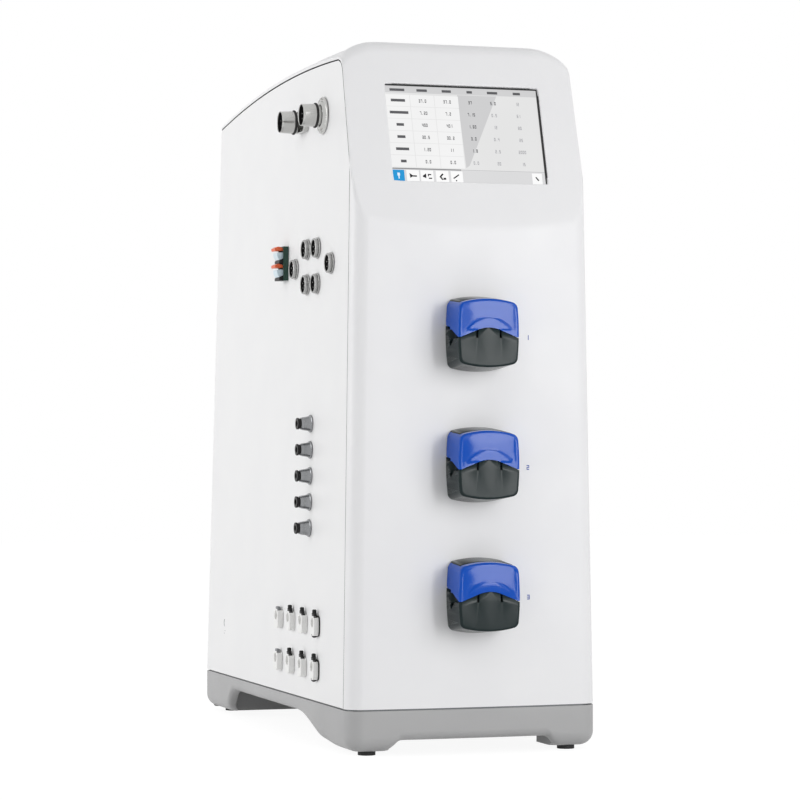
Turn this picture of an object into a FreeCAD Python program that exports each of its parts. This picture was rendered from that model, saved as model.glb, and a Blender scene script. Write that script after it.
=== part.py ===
import FreeCAD, Part
import math
import os
from FreeCAD import Vector

os.makedirs("parts", exist_ok=True)

# Bench bioreactor control station: a tall moulded housing on a four-legged base, a touch display
# in its leaning upper front, three flip-top peristaltic pumps below it, and the probe, gas and
# water connections in its left side.
# Millimetres. While the pieces are made, X is to the right, the front faces -Y, Z is up, and the
# origin is on the bench in the middle of the housing's plan. Each piece is moved as it is saved,
# so that the origin of the part is in the middle of the floor area that it all covers.

# ---------------------------------------------------------------- driving dimensions

# housing
body_width = 277.0           # across the sides, at the top of the base
body_depth = 598.0           # front to rear on the centre line, at the top of the base
body_height = 754.0          # bench to the highest point of the top
set_out_height = 754.0       # housing height that the places up it are given for
side_lean = 0.0155           # each side leans in by this much per mm of height
front_lean = 0.010
rear_lean = 0.045
front_crown_radius = 2300.0  # the front is slightly bowed in plan
front_corner_radius = 17.5
rear_corner_radius = 8.0
face_tilt = 17.0             # degrees that the display face leans back
face_foot_set_out = 550.0    # height at which the display face leaves the front
brow_radius = 18.0           # from the display face over to the top
top_arc_radius = 2560.0      # the top falls away towards the rear
top_apex_y = -127.0
top_edge_drop = 16.8         # the shouldered edges of the top lie this far below its middle
shoulder_slope = 0.5
shoulder_radius = 50.0
cover_wall = 3.0
panel_wall = 2.0
seam_gap = 0.9               # between the front cover and a side panel
seam_setback = 20.7          # the side seam lies this far behind the front's centre line
seam_face_setback = 1.6      # and this far behind the display face
seam_below_edge = 3.5        # and this far below the edge of the top
seam_corner_radius = 5.0
panel_return = 22.0          # a side panel's flange round the rear corner

# base
foot_height = 4.5
foot_radius = 9.3
foot_inset = 27.4            # foot centre to the housing's side and front
skirt_top = 47.5
skirt_edge_radius = 15.0
skirt_wall = 4.0
skirt_deck = 3.0
floor_plate_wall = 1.5
floor_plate_inset = 3.0
front_arch_height = 16.0
front_arch_half = 86.0       # half width at the top of the arch
front_arch_foot_half = 92.0
side_arch_height = 32.0
side_arch_front = -205.0     # where the side arch meets the front leg's sole
side_arch_rear = 215.0
front_leg_width = 47.0       # across the housing
rib_wall = 2.5
rib_height = 8.0

# display
screen_width = 173.0
screen_height = 111.0
screen_offset = 3.0          # the opening lies this far right of the centre line
screen_centre_set_out = 653.3
screen_corner_radius = 1.5
screen_recess = 7.5          # from the display face to the glass
gasket_wall = 1.0
gasket_flange = 6.0
gasket_fit = 0.1
glass_thickness = 3.0
display_depth = 12.0

# pumps
pump_heights = (439.5, 302.5, 166.0)
pump_offset = 1.5            # right of the centre line
pump_width = 67.0
pump_height = 71.0           # at the front
pump_depth = 42.0
pump_flare = 4.0             # the back is taller than the front by this much, above and below
pump_bow = 4.5               # sag of the bowed upper and lower edges
pump_side_bow = 1.8
pump_corner_radius = 7.0
pump_edge_radius = 2.5
pump_back_plate = 7.0
pump_front_wall = 4.0
lid_wall = 2.4
lid_roof_edge = 32.0         # the lid's roof strip begins this far in front of the wall
lid_back_gap = 0.6           # from the cheeks to the wall
lid_cheek_edge = 14.5        # the cheeks are cut back behind this, round the tube clamps
lid_cheek_sweep = 22.3       # radius about the hinge that they are cut to there
ridge_half = 24.0            # finger grip over the arch of the lid's front
ridge_foot = 3.5
ridge_top = 16.0
lid_gap = 0.35
lid_arch_top = 5.6           # the lid's lower edge above the pump's centre, in the middle
lid_arch_radius = 32.0
lid_arch_slope = 0.40
lid_hinge_y = 13.0           # hinge axis in front of the pump's mounting face
lid_hinge_z = 26.5           # and above its centre
lid_hinge_radius = 2.0
lid_hinge_clearance = 0.06
chamber_roof_rise = 3.5      # the chamber's roof lies this far above the hinge
tube_notch_tilt = 58.0       # the tube's slanted notch in each side of the body
tube_notch_length = 17.0
tube_notch_y = 20.5
tube_notch_z = -6.6
lid_ridge_height = 0.8
rotor_z = -6.0
rotor_clearance = 2.0        # between the rollers' tips and the wall of the pump's chamber
roller_count = 3
roller_radius = 4.5
roller_orbit = 13.0
roller_length = 16.0
rotor_flange = 2.5
shaft_radius = 3.0
shaft_clearance = 0.05
track_gap = 2.6              # between the closed track and the rollers' tips
track_half_width = 23.0
track_lift = 5.0
slot_half_pitch = 13.0       # the two relief slots in the front
slot_width = 2.6
slot_height = 9.0
tube_slot_width = 5.0
motor_radius = 23.0
motor_length = 96.0
motor_flange = 56.0
motor_flange_wall = 5.0
motor_gap = 0.6              # from the cover's inner face to the motor's flange

# side connections: heights and places along the housing are on the left side
bayonet_places = ((-89.0, 677.5), (-173.0, 677.0))
bayonet_radius = 11.2
bayonet_flange_radius = 12.8
bayonet_flange_wall = 2.0
bayonet_bore = 9.4
bayonet_reach = 25.5
bayonet_recess = 3.8
collar_radius = 17.3
collar_wall = 3.2
nut_across_flats = 27.0
nut_wall = 6.0
ring_height = 0.9
ring_width = 1.8
ring_place = 7.0             # from the panel
sensor_places = ((-120.0, 536.0), (-159.0, 535.5), (-211.0, 516.5),
                 (-74.0, 516.7), (-120.5, 497.6), (-159.0, 497.0))
sensor_radius = 10.8
sensor_reach = 9.5
sensor_bore = 7.6
sensor_recess = 3.6
terminal_y = -33.0
terminal_z = 525.0
terminal_pitch = 19.0
terminal_height = 38.0
terminal_width = 22.0
terminal_header_reach = 6.0
plug_reach = 14.0
button_travel = 1.5
gas_port_y = -142.0
gas_port_top = 346.0
gas_port_pitch = 28.25
gas_port_count = 5
gas_port_radius = 9.2
gas_port_reach = 12.0
collet_radius = 5.2
collet_head_radius = 6.2
collet_bore = 3.05
collet_reach = 4.0
collet_travel = 1.5
coupling_columns = (-35.5, -83.5, -131.5, -179.0)
coupling_rows = (133.0, 86.0)
coupling_radius = 8.8
coupling_reach = 13.0
coupling_bore = 5.0
coupling_recess = 3.8
coupling_flange_height = 25.0
coupling_flange_width = 19.0
coupling_flange_wall = 2.0
latch_wall = 3.0
latch_width = 11.0
latch_travel = 1.8
latch_clearance = 0.2
latch_pad_reach = 2.4        # the thumb pad overhangs its plate by this much, in front and behind
latch_pad_width = 8.4
latch_pad_rise = 3.2
latch_knob_radius = 2.5
latch_knob_rise = 4.2
drain_radius = 2.9           # knob under each coupling of the last column
drain_length = 7.5
panel_hole_gap = 0.6
mount_gap = 0.3              # a part that seats on a leaning panel stands this far off it

# rear and inside
fan_size = 80.0
fan_depth = 25.0
fan_height = 545.0
fan_bore = 38.0
fan_hub_radius = 14.0
fan_blade_count = 7
fan_axle_radius = 2.0
inlet_x = -62.0
inlet_width = 28.0
inlet_rise = 21.0
inlet_recess = 16.0
switch_width = 13.4
switch_rise = 20.0
inlet_z = 112.0
switch_x = 12.0
switch_tilt = 8.0
rear_gas_places = (-75.0, -45.0, -15.0, 15.0)
rear_gas_z = 200.0
rear_gas_radius = 6.0
rear_data_places = (50.0, 80.0)
bulkhead_y = -5.0
bulkhead_wall = 2.0
bulkhead_top_set_out = 696.0
screw_radius = 3.4
screw_shank = 1.9
board_standoff = 10.0
board_width = 190.0
board_height = 240.0
board_centre = 480.0
board_wall = 1.6
board_hole_inset = 7.0
supply_width = 110.0
supply_depth = 170.0
supply_height = 82.0
supply_x = 50.0
supply_y = 145.0
supply_foot = 10.0


# ---------------------------------------------------------------- small helpers

def box(x0, x1, y0, y1, z0, z1):
    return Part.makeBox(x1 - x0, y1 - y0, z1 - z0, Vector(x0, y0, z0))


def cylinder(radius, length, start, direction):
    return Part.makeCylinder(radius, length, Vector(*start), Vector(*direction))


def fuse(shapes):
    shapes = list(shapes)
    if len(shapes) == 1:
        return shapes[0]
    return shapes[0].multiFuse(shapes[1:]).removeSplitter()


def face_of(points):
    corners = [Vector(*p) for p in points]
    return Part.Face(Part.makePolygon(corners + [corners[0]]))


def turned(profile, start, direction):
    """A turned piece: profile is (distance along the axis, radius) from start."""
    corners = [Vector(radius, 0, along) for along, radius in profile]
    if profile[0][1] > 0:
        corners.insert(0, Vector(0, 0, profile[0][0]))
    if profile[-1][1] > 0:
        corners.append(Vector(0, 0, profile[-1][0]))
    solid = Part.Face(Part.makePolygon(corners + [corners[0]])).revolve(
        Vector(0, 0, 0), Vector(0, 0, 1), 360)
    turn = FreeCAD.Rotation(Vector(0, 0, 1), Vector(*direction))
    solid.Placement = FreeCAD.Placement(Vector(*start), turn)
    return solid


def edges_where(shape, test):
    return [edge for edge in shape.Edges if test(edge)]


def rounded_plate(width, height, corner, thickness):
    """A plate in the XZ plane round the origin, its front at y = 0 and its back at +thickness."""
    plate = box(-width / 2, width / 2, 0, thickness, -height / 2, height / 2)
    corners = edges_where(plate, lambda e: abs(e.BoundBox.YLength - thickness) < 1e-6
                          and e.BoundBox.XLength < 1e-6 and e.BoundBox.ZLength < 1e-6)
    return plate.makeFillet(corner, corners)


def level(z):
    """A set-out height, moved in proportion to the housing's height."""
    return z * body_height / set_out_height


def levels(places):
    """Places (y, z) on a side, with each z moved in proportion to the housing's height."""
    return [(y, level(z)) for y, z in places]


# ---------------------------------------------------------------- the housing's form

face_foot = level(face_foot_set_out)
screen_centre_height = level(screen_centre_set_out)
pump_levels = [level(z) for z in pump_heights]
bulkhead_top = level(bulkhead_top_set_out)
bayonet_levels = levels(bayonet_places)
sensor_levels = levels(sensor_places)
terminal_level = level(terminal_z)
fan_level = level(fan_height)
slope = math.tan(math.radians(face_tilt))
face_foot_y = -body_depth / 2 + front_lean * (face_foot - skirt_top)
top_centre_z = body_height - top_arc_radius


def side_x(z):
    """Half width of the housing at height z."""
    return body_width / 2 - side_lean * (z - skirt_top)


def front_y(z):
    """The front's centre line below the display face."""
    return -body_depth / 2 + front_lean * (z - skirt_top)


def rear_y(z):
    return body_depth / 2 - rear_lean * (z - skirt_top)


def face_y(z):
    """The display face at height z."""
    return face_foot_y + slope * (z - face_foot)


def corner_arc(centre, radius, start, end):
    """The arc about centre between two directions, given in degrees from +X."""
    points = [centre + Vector(math.cos(a), math.sin(a), 0) * radius
              for a in (math.radians(start), math.radians((start + end) / 2), math.radians(end))]
    return Part.Arc(*points).toShape()


def outline(z, inset):
    """Plan outline at height z: straight sides and rear, a bowed front and rounded corners."""
    half = side_x(z) - inset
    front = front_y(z) + inset
    rear = rear_y(z) - inset
    bow_centre = front + front_crown_radius
    r = front_corner_radius - inset
    x = half - r
    y = bow_centre - math.sqrt((front_crown_radius - r) ** 2 - x ** 2)
    lean = math.degrees(math.asin(x / (front_crown_radius - r)))
    left = corner_arc(Vector(-x, y, z), r, 180, 270 - lean)
    right = corner_arc(Vector(x, y, z), r, 270 + lean, 360)
    ends = left.lastVertex(True).Point, right.firstVertex(True).Point
    bow = Part.Arc(ends[0], Vector(0, front, z), ends[1]).toShape()
    q = rear_corner_radius - inset
    rear_right = corner_arc(Vector(half - q, rear - q, z), q, 0, 90)
    rear_left = corner_arc(Vector(-half + q, rear - q, z), q, 90, 180)
    edges = [left, bow, right, Part.makeLine(Vector(half, y, z), Vector(half, rear - q, z)), rear_right,
             Part.makeLine(Vector(half - q, rear, z), Vector(-half + q, rear, z)), rear_left,
             Part.makeLine(Vector(-half, rear - q, z), Vector(-half, y, z))]
    return Part.Wire(edges)


def column(z0, z1, inset):
    """The leaning column of the housing between two heights."""
    return Part.makeLoft([outline(z0, inset), outline(z1, inset)], True, True)


def in_front_of_face(inset):
    """Everything in front of the display face, which the housing is cut back by."""
    reach = 400.0
    block = box(-reach, reach, -reach, 0, -150, 350)
    block.rotate(Vector(0, 0, 0), Vector(1, 0, 0), -face_tilt)
    block.translate(Vector(0, face_foot_y, face_foot))
    tilt = math.radians(face_tilt)
    block.translate(Vector(0, inset * math.cos(tilt), -inset * math.sin(tilt)))
    return block


def under_top(inset):
    """The space under the top: a shouldered section carried along the falling arc."""
    half = side_x(body_height)
    angle = math.atan(shoulder_slope)
    arc_run = shoulder_radius * math.sin(angle)
    arc_drop = shoulder_radius * (1 - math.cos(angle))
    line_run = (top_edge_drop - arc_drop) / shoulder_slope
    flat_half = half - line_run - arc_run
    spare = 60.0
    top = body_height - inset
    low = top_centre_z + 0.62 * top_arc_radius
    y = top_apex_y

    def shoulder(side):
        mid = angle / 2
        start = Vector(side * flat_half, y, top)
        middle = Vector(side * (flat_half + shoulder_radius * math.sin(mid)), y,
                        top - shoulder_radius * (1 - math.cos(mid)))
        end = Vector(side * (flat_half + arc_run), y, top - arc_drop)
        foot = Vector(side * (half + spare), y,
                      top - arc_drop - shoulder_slope * (line_run + spare))
        return start, middle, end, foot

    ls, lm, le, lf = shoulder(-1)
    rs, rm, re, rf = shoulder(1)
    edges = [Part.makeLine(Vector(lf.x, y, low), lf), Part.makeLine(lf, le),
             Part.Arc(le, lm, ls).toShape(), Part.makeLine(ls, rs),
             Part.Arc(rs, rm, re).toShape(), Part.makeLine(re, rf),
             Part.makeLine(rf, Vector(rf.x, y, low)),
             Part.makeLine(Vector(rf.x, y, low), Vector(lf.x, y, low))]
    section = Part.Face(Part.Wire(edges))
    centre = Vector(0, y, top_centre_z)
    swing = 17.0
    section.rotate(centre, Vector(1, 0, 0), swing)
    return section.revolve(centre, Vector(1, 0, 0), -2 * swing)


def housing_form(inset):
    """The housing's outer form, drawn in by inset everywhere but at its open bottom."""
    solid = column(skirt_top - 20, body_height + 30, inset)
    solid = solid.cut(in_front_of_face(inset))
    solid = solid.common(under_top(inset))
    if inset < brow_radius:
        brow = edges_where(solid, lambda e: e.BoundBox.XLength > 60 and e.BoundBox.YMax < -180
                           and e.BoundBox.ZMin > body_height - 40)
        solid = solid.makeFillet(brow_radius - inset, brow)
    return solid


def behind_seam(back):
    """The zone of the side and rear panels, drawn back from the cover's seam by back."""
    reach = 500.0
    tilt = math.radians(face_tilt)
    low = skirt_top - 30
    y0 = front_y(low) + seam_setback + back
    y1 = front_y(body_height) + seam_setback + back
    zone = face_of(((-reach, y0, low), (-reach, reach, low), (-reach, reach, body_height),
                    (-reach, y1, body_height))).extrude(Vector(2 * reach, 0, 0))
    zone = zone.cut(in_front_of_face(seam_face_setback + back))
    seam_radius = top_arc_radius - top_edge_drop - seam_below_edge - back
    disc = cylinder(seam_radius, 2 * reach, (-reach, top_apex_y, top_centre_z), (1, 0, 0))
    zone = zone.common(disc)
    corner = edges_where(zone, lambda e: e.BoundBox.XLength > reach and e.BoundBox.YMax < -150
                         and e.BoundBox.ZMin > body_height - 60)
    return zone.makeFillet(seam_corner_radius - back, corner)


form = housing_form(0)
cover_core = housing_form(cover_wall)
panel_core = housing_form(panel_wall)
cover_bottom = skirt_top + floor_plate_wall
keep = box(-400, 400, -500, 500, cover_bottom, 1000)

# ---------------------------------------------------------------- places on the leaning panels

def on_left(y, z, reach=0.0):
    """A point on the left side's surface, or reach mm outside it."""
    return (-side_x(z) - reach, y, z)


def row(places):
    return list(enumerate(places, start=1))


gas_places = [(gas_port_y, level(gas_port_top - i * gas_port_pitch)) for i in range(gas_port_count)]
coupling_places = [(y, z) for z in coupling_rows for y in coupling_columns]
gas_body_radius = gas_port_radius - 2.2
sensor_thread_radius = sensor_radius - 2.3
bayonet_thread_radius = bayonet_radius - 1.2
coupling_stem_radius = coupling_radius - 2.3
terminal_hole_z = terminal_height - 6.0
terminal_hole_y = terminal_width - 6.0


# ---------------------------------------------------------------- housing

def front_cover():
    """One moulding: the bowed front, the leaning display face and the shouldered top."""
    shell = form.cut(cover_core).cut(behind_seam(0)).common(keep)
    tools = [screen_block(screen_width, screen_height, screen_corner_radius, -20, 20)]
    for height in pump_levels:
        y = front_y(height)
        tools.append(cylinder(shaft_radius + 2.0, 20, (pump_offset, y - 5, height + rotor_z), (0, 1, 0)))
    return shell.cut(tools)


def side_panel(side):
    """A sheet-metal side, folded round the rear corner, with the left one drilled for its ports."""
    sheet = form.cut(panel_core).common(behind_seam(seam_gap)).common(keep)
    inner = body_width / 2 - panel_return
    holes = [to_rear(cylinder(screw_shank + 0.3, 20, (0, -10, 0), (0, 1, 0)), x, z)
             for x, z in screw_places() if x * side > 0]
    if side > 0:
        return sheet.common(box(inner, 400, -500, 500, 0, 1000)).cut(holes)
    sheet = sheet.common(box(-400, -inner, -500, 500, 0, 1000))
    for places, radius in ((bayonet_levels, bayonet_thread_radius), (sensor_levels, sensor_thread_radius),
                           (gas_places, gas_body_radius), (coupling_places, coupling_stem_radius)):
        for y, z in places:
            holes.append(cylinder(radius + panel_hole_gap, 30, on_left(y, z, 15), (1, 0, 0)))
    half = terminal_hole_y / 2 + panel_hole_gap
    rise = terminal_hole_z / 2 + panel_hole_gap
    x = -side_x(terminal_level)
    holes.append(box(x - 15, x + 15, terminal_y - half, terminal_y + half,
                     terminal_level - rise, terminal_level + rise))
    return sheet.cut(holes)


def rear_panel():
    """The flat rear sheet between the folds, with the fan's grille, inlet, switch and ports."""
    inner = body_width / 2 - panel_return - seam_gap
    sheet = form.cut(panel_core).common(behind_seam(seam_gap)).common(keep)
    sheet = sheet.common(box(-inner, inner, 150, 500, 0, 1000))
    holes = []
    for i in range(-4, 5):
        z = fan_level + i * 8.0
        half = math.sqrt(max(fan_bore ** 2 - (i * 8.0) ** 2, 0)) - 2
        slot = box(-half, half, rear_y(z) - 10, rear_y(z) + 10, z - 1.8, z + 1.8)
        holes.append(slot)
    for width, rise, x in ((inlet_width, inlet_rise, inlet_x), (switch_width, switch_rise, switch_x)):
        cut_out = box(-width / 2, width / 2, -10, 10, -rise / 2, rise / 2)
        holes.append(to_rear(cut_out, x, inlet_z))
    ports = [(x, rear_gas_radius) for x in rear_gas_places]
    ports += [(x, sensor_thread_radius) for x in rear_data_places]
    for x, radius in ports:
        hole = cylinder(radius + panel_hole_gap, 20, (0, -10, 0), (0, 1, 0))
        holes.append(to_rear(hole, x, rear_gas_z))
    return sheet.cut(holes)


def floor_plate():
    """Sheet-steel floor that closes the housing; its edge is the dark line over the base."""
    return column(skirt_top, cover_bottom, floor_plate_inset)


# ---------------------------------------------------------------- base

def base_skirt():
    """Moulded base: a hollow tray on four legs, with an arch under each side."""
    solid = Part.Face(outline(skirt_top, 0)).extrude(Vector(0, 0, foot_height - skirt_top))
    soles = edges_where(solid, lambda e: e.BoundBox.ZMax < foot_height + 0.01)
    solid = solid.makeFillet(skirt_edge_radius, soles)
    half = body_width / 2
    length = body_depth / 2
    deck = skirt_top - skirt_deck
    # hollow under the deck, with a solid leg left in each corner
    hollow = box(-half + skirt_wall, half - skirt_wall, -length + skirt_wall, length - skirt_wall,
                 foot_height - 1, deck)
    legs = []
    for side in (-1, 1):
        x0, x1 = sorted((side * half, side * (half - front_leg_width)))
        legs.append(box(x0, x1, -length, side_arch_front, 0, deck))
        legs.append(box(x0, x1, side_arch_rear, length, 0, deck))
    hollow = hollow.cut(legs)
    for x in (-half / 3, half / 3):
        half = rib_wall / 2
        hollow = hollow.cut(box(x - half, x + half, -length, length, deck - rib_height, deck))
    for y in (-length / 3, length / 3):
        hollow = hollow.cut(box(-half, half, y - rib_wall / 2, y + rib_wall / 2, deck - rib_height, deck))
    return solid.cut([hollow, side_arch(), front_arch()])


def side_arch():
    """The tunnel from side to side, as a soft-cornered profile extruded across the base."""
    low = foot_height - 1
    rise_front = side_arch_front + 60.0
    rise_rear = side_arch_rear - 48.0
    reach = body_width / 2 + 10
    tunnel = face_of(((-reach, side_arch_front - 2, low), (-reach, side_arch_front + 4, low + 2),
                      (-reach, rise_front, side_arch_height), (-reach, rise_rear, side_arch_height - 3),
                      (-reach, side_arch_rear - 4, low + 3), (-reach, side_arch_rear + 2, low),
                      )).extrude(Vector(2 * reach, 0, 0))
    bends = edges_where(tunnel, lambda e: e.BoundBox.XLength > reach and e.BoundBox.ZMin > 25)
    return tunnel.makeFillet(22.0, bends)


def front_arch():
    """The lower tunnel from front to rear."""
    low = foot_height - 1
    reach = body_depth / 2 + 10
    half = front_arch_half
    foot = front_arch_foot_half
    tunnel = face_of(((-foot - 6, -reach, low), (-half, -reach, front_arch_height),
                      (half, -reach, front_arch_height), (foot + 6, -reach, low),
                      )).extrude(Vector(0, 2 * reach, 0))
    bends = edges_where(tunnel, lambda e: e.BoundBox.YLength > reach
                        and e.BoundBox.ZMin > front_arch_height - 1)
    return tunnel.makeFillet(8.0, bends)


def foot_pads():
    """Four rubber feet under the legs."""
    x = body_width / 2 - foot_inset
    y = body_depth / 2 - foot_inset
    pads = []
    for sx in (-1, 1):
        for sy in (-1, 1):
            pads.append(cylinder(foot_radius, foot_height, (sx * x, sy * y, 0), (0, 0, 1)))
    return Part.makeCompound(pads)


# ---------------------------------------------------------------- display

def to_face(shape):
    """Move a piece made round the origin, facing -Y, into place on the display face."""
    shape.rotate(Vector(0, 0, 0), Vector(1, 0, 0), -face_tilt)
    shape.translate(Vector(screen_offset, face_y(screen_centre_height), screen_centre_height))
    return shape


def screen_block(width, height, corner, front, back):
    block = rounded_plate(width, height, corner, back - front)
    block.translate(Vector(0, front, 0))
    return to_face(block)


def display_gasket():
    """Black liner of the opening, with a flange behind the cover's wall."""
    liner = screen_block(screen_width - 2 * gasket_fit, screen_height - 2 * gasket_fit,
                         screen_corner_radius, 0.3, screen_recess)
    flange = screen_block(screen_width + 2 * gasket_flange, screen_height + 2 * gasket_flange,
                          screen_corner_radius, cover_wall + gasket_fit, screen_recess)
    hole = screen_block(screen_width - 2 * gasket_wall - 2 * gasket_fit,
                        screen_height - 2 * gasket_wall - 2 * gasket_fit,
                        screen_corner_radius, -1, screen_recess + 1)
    return liner.fuse(flange).cut(hole).removeSplitter()


def touch_display():
    """Bonded glass and display module, clamped behind the gasket."""
    back = screen_recess + glass_thickness
    glass = screen_block(screen_width + 2 * gasket_flange, screen_height + 2 * gasket_flange,
                         screen_corner_radius, screen_recess, back)
    module = screen_block(screen_width, screen_height, 2, back, back + display_depth)
    ears = []
    for x in (-1, 1):
        ear = box(-6, 6, back, back + 2, -18, 18)
        ear.translate(Vector(x * (screen_width / 2 + 2), 0, 0))
        ears.append(to_face(ear))
    return glass.multiFuse([module] + ears).removeSplitter()


# ---------------------------------------------------------------- side connections

def socket_shell(start, direction, reach, profile, bore):
    """A turned connector shell, open from end to end."""
    shell = turned(profile, start, direction)
    axis = Vector(*direction)
    mouth = Vector(*start) + axis * (reach + 1)
    return shell.cut(cylinder(bore, reach + 40, tuple(mouth), tuple(axis * -1)))


def bayonet_connectors():
    """Two long round connector shells, one for the stirrer's motor and one for the heat blanket."""
    profile = ((-14, bayonet_thread_radius), (mount_gap, bayonet_thread_radius),
               (mount_gap, bayonet_flange_radius), (bayonet_flange_wall, bayonet_flange_radius),
               (bayonet_flange_wall, bayonet_radius), (bayonet_reach, bayonet_radius))
    return Part.makeCompound([socket_shell(on_left(y, z), (-1, 0, 0), bayonet_reach, profile, bayonet_bore)
                              for y, z in bayonet_levels])


def connector_rings():
    """Rubber sealing rings round the two long shells."""
    rings = []
    for y, z in bayonet_levels:
        start = on_left(y, z, ring_place)
        ring = cylinder(bayonet_radius + ring_height, ring_width, start, (-1, 0, 0))
        rings.append(ring.cut(cylinder(bayonet_radius + 0.05, 60, on_left(y, z), (-1, 0, 0))))
    return Part.makeCompound(rings)


def connector_collars():
    """A hexagon nut behind the first shell's flange, and a stepped round collar for the second."""
    (y1, z1), (y2, z2) = bayonet_levels
    fit = bayonet_flange_radius + 0.05
    across = nut_across_flats / math.sqrt(3)
    start = on_left(y1, z1, mount_gap)
    corners = [Vector(start[0], y1 + across * math.cos(math.radians(60 * i + 30)),
                      z1 + across * math.sin(math.radians(60 * i + 30))) for i in range(6)]
    nut = Part.Face(Part.makePolygon(corners + [corners[0]])).extrude(Vector(-nut_wall, 0, 0))
    nut = nut.cut(cylinder(fit, 40, on_left(y1, z1, 20), (1, 0, 0)))
    collar = turned(((mount_gap, collar_radius), (collar_wall, collar_radius),
                     (collar_wall, collar_radius - 2.2), (collar_wall + 1.4, collar_radius - 2.6)),
                    on_left(y2, z2), (-1, 0, 0))
    collar = collar.cut(cylinder(fit, 40, on_left(y2, z2, 20), (1, 0, 0)))
    return Part.makeCompound([nut, collar])


def sensor_shell(start, direction):
    profile = ((-10, sensor_thread_radius), (mount_gap, sensor_thread_radius), (mount_gap, sensor_radius),
               (4.5, sensor_radius), (5.6, sensor_radius - 1.1), (sensor_reach, sensor_radius - 1.1))
    return socket_shell(start, direction, sensor_reach, profile, sensor_bore)


def socket_insert(start, direction, radius, reach, recess, pins):
    """Black moulded insert that fills a shell behind its mouth, with flat pins standing in it."""
    axis = Vector(*direction)
    base = Vector(*start) - axis * 9.0
    insert = Part.makeCylinder(radius - shaft_clearance, reach - recess + 9.0, base, axis)
    turn = FreeCAD.Rotation(Vector(0, 0, 1), axis)
    for i in range(pins):
        angle = 360.0 * i / pins
        pin = box(radius * 0.5, radius * 0.5 + 1.2, -0.6, 0.6, reach - recess - 1, reach - 1.0)
        pin.rotate(Vector(0, 0, 0), Vector(0, 0, 1), angle)
        pin.Placement = FreeCAD.Placement(Vector(*start), turn).multiply(pin.Placement)
        insert = insert.fuse(pin)
    return insert


def sensor_connectors():
    """Low round sockets for the vessel's probes."""
    return Part.makeCompound([sensor_shell(on_left(y, z), (-1, 0, 0)) for y, z in sensor_levels])


def rear_data_sockets():
    shells = [to_rear(sensor_shell((0, 0, 0), (0, 1, 0)), x, rear_gas_z) for x in rear_data_places]
    return Part.makeCompound(shells)


def connector_inserts():
    inserts = [socket_insert(on_left(y, z), (-1, 0, 0), bayonet_bore, bayonet_reach, bayonet_recess, 5)
               for y, z in bayonet_levels]
    inserts += [socket_insert(on_left(y, z), (-1, 0, 0), sensor_bore, sensor_reach, sensor_recess, 4)
                for y, z in sensor_levels]
    inserts += [to_rear(socket_insert((0, 0, 0), (0, 1, 0), sensor_bore, sensor_reach, sensor_recess, 4),
                        x, rear_gas_z) for x in rear_data_places]
    return Part.makeCompound(inserts)


def terminal_x(reach=0.0):
    return -side_x(terminal_level) - reach


def terminal_header():
    """Green header with a stepped shroud; two plugs sit one above the other in it."""
    x = terminal_x()
    half = terminal_width / 2
    rise = terminal_height / 2
    body = box(x - terminal_header_reach, x - mount_gap, terminal_y - half, terminal_y + half,
               terminal_level - rise, terminal_level + rise)
    tail = box(x - mount_gap, x + 12, terminal_y - terminal_hole_y / 2, terminal_y + terminal_hole_y / 2,
               terminal_level - terminal_hole_z / 2, terminal_level + terminal_hole_z / 2)
    body = body.fuse(tail)
    for z in terminal_plug_heights():
        body = body.cut(box(x - 20, x - 3, terminal_y - half + 1.6, terminal_y + half - 1.6,
                            z - 7.5, z + 5.5))
    return body


def terminal_plug_heights():
    return (terminal_level + terminal_pitch / 2, terminal_level - terminal_pitch / 2)


def terminal_plugs():
    """Two wire plugs with sloping fronts, each with a slot for its release button."""
    plugs = []
    for z in terminal_plug_heights():
        x = terminal_x(3.0)
        y0 = terminal_y - terminal_width / 2 + 1.8
        width = terminal_width - 3.6
        wedge = face_of(((x, y0, z - 7.3), (x, y0, z + 5.3), (x - plug_reach + 3, y0, z + 5.3),
                         (x - plug_reach + 3, y0, z + 2.0), (x - plug_reach + 5.5, y0, z - 5.5),
                         (x - 4, y0, z - 7.3))).extrude(Vector(0, width, 0))
        slot = box(x - plug_reach - 5, x - 3.6, y0 + 1.8, y0 + width - 1.8, z + 1.2, z + 20)
        holes = [cylinder(1.3, 9, (x - plug_reach, y0 + width * k, z - 2.2), (1, 0, 0))
                 for k in (0.3, 0.7)]
        plugs.append(wedge.cut([slot] + holes))
    return Part.makeCompound(plugs)


def terminal_button(z):
    """Orange release button: a block that is pressed down into its plug."""
    x = terminal_x(3.0)
    y0 = terminal_y - terminal_width / 2 + 1.8
    width = terminal_width - 3.6
    block = box(x - plug_reach + 0.5, x - 3.9, y0 + 2.1, y0 + width - 2.1,
                z + 1.5 + button_travel, z + 8.0)
    top = edges_where(block, lambda e: e.BoundBox.YLength > 5 and e.BoundBox.ZMin > z + 7.9
                      and e.BoundBox.XMax < x - 9)
    return block.makeChamfer(2.2, top)


# ---------------------------------------------------------------- gas ports

def gas_fittings():
    """Five bell-shaped push-in fittings; each holds a sliding collet in its neck."""
    fittings = []
    for y, z in gas_places:
        bell = turned(((-14, gas_body_radius), (mount_gap, gas_body_radius), (mount_gap, gas_port_radius),
                       (1.8, gas_port_radius), (gas_port_reach, gas_port_radius - 2.8)),
                      on_left(y, z), (-1, 0, 0))
        guide = cylinder(collet_radius + shaft_clearance, 60, on_left(y, z, gas_port_reach - 9), (-1, 0, 0))
        fittings.append(bell.cut(guide))
    return Part.makeCompound(fittings)


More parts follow.
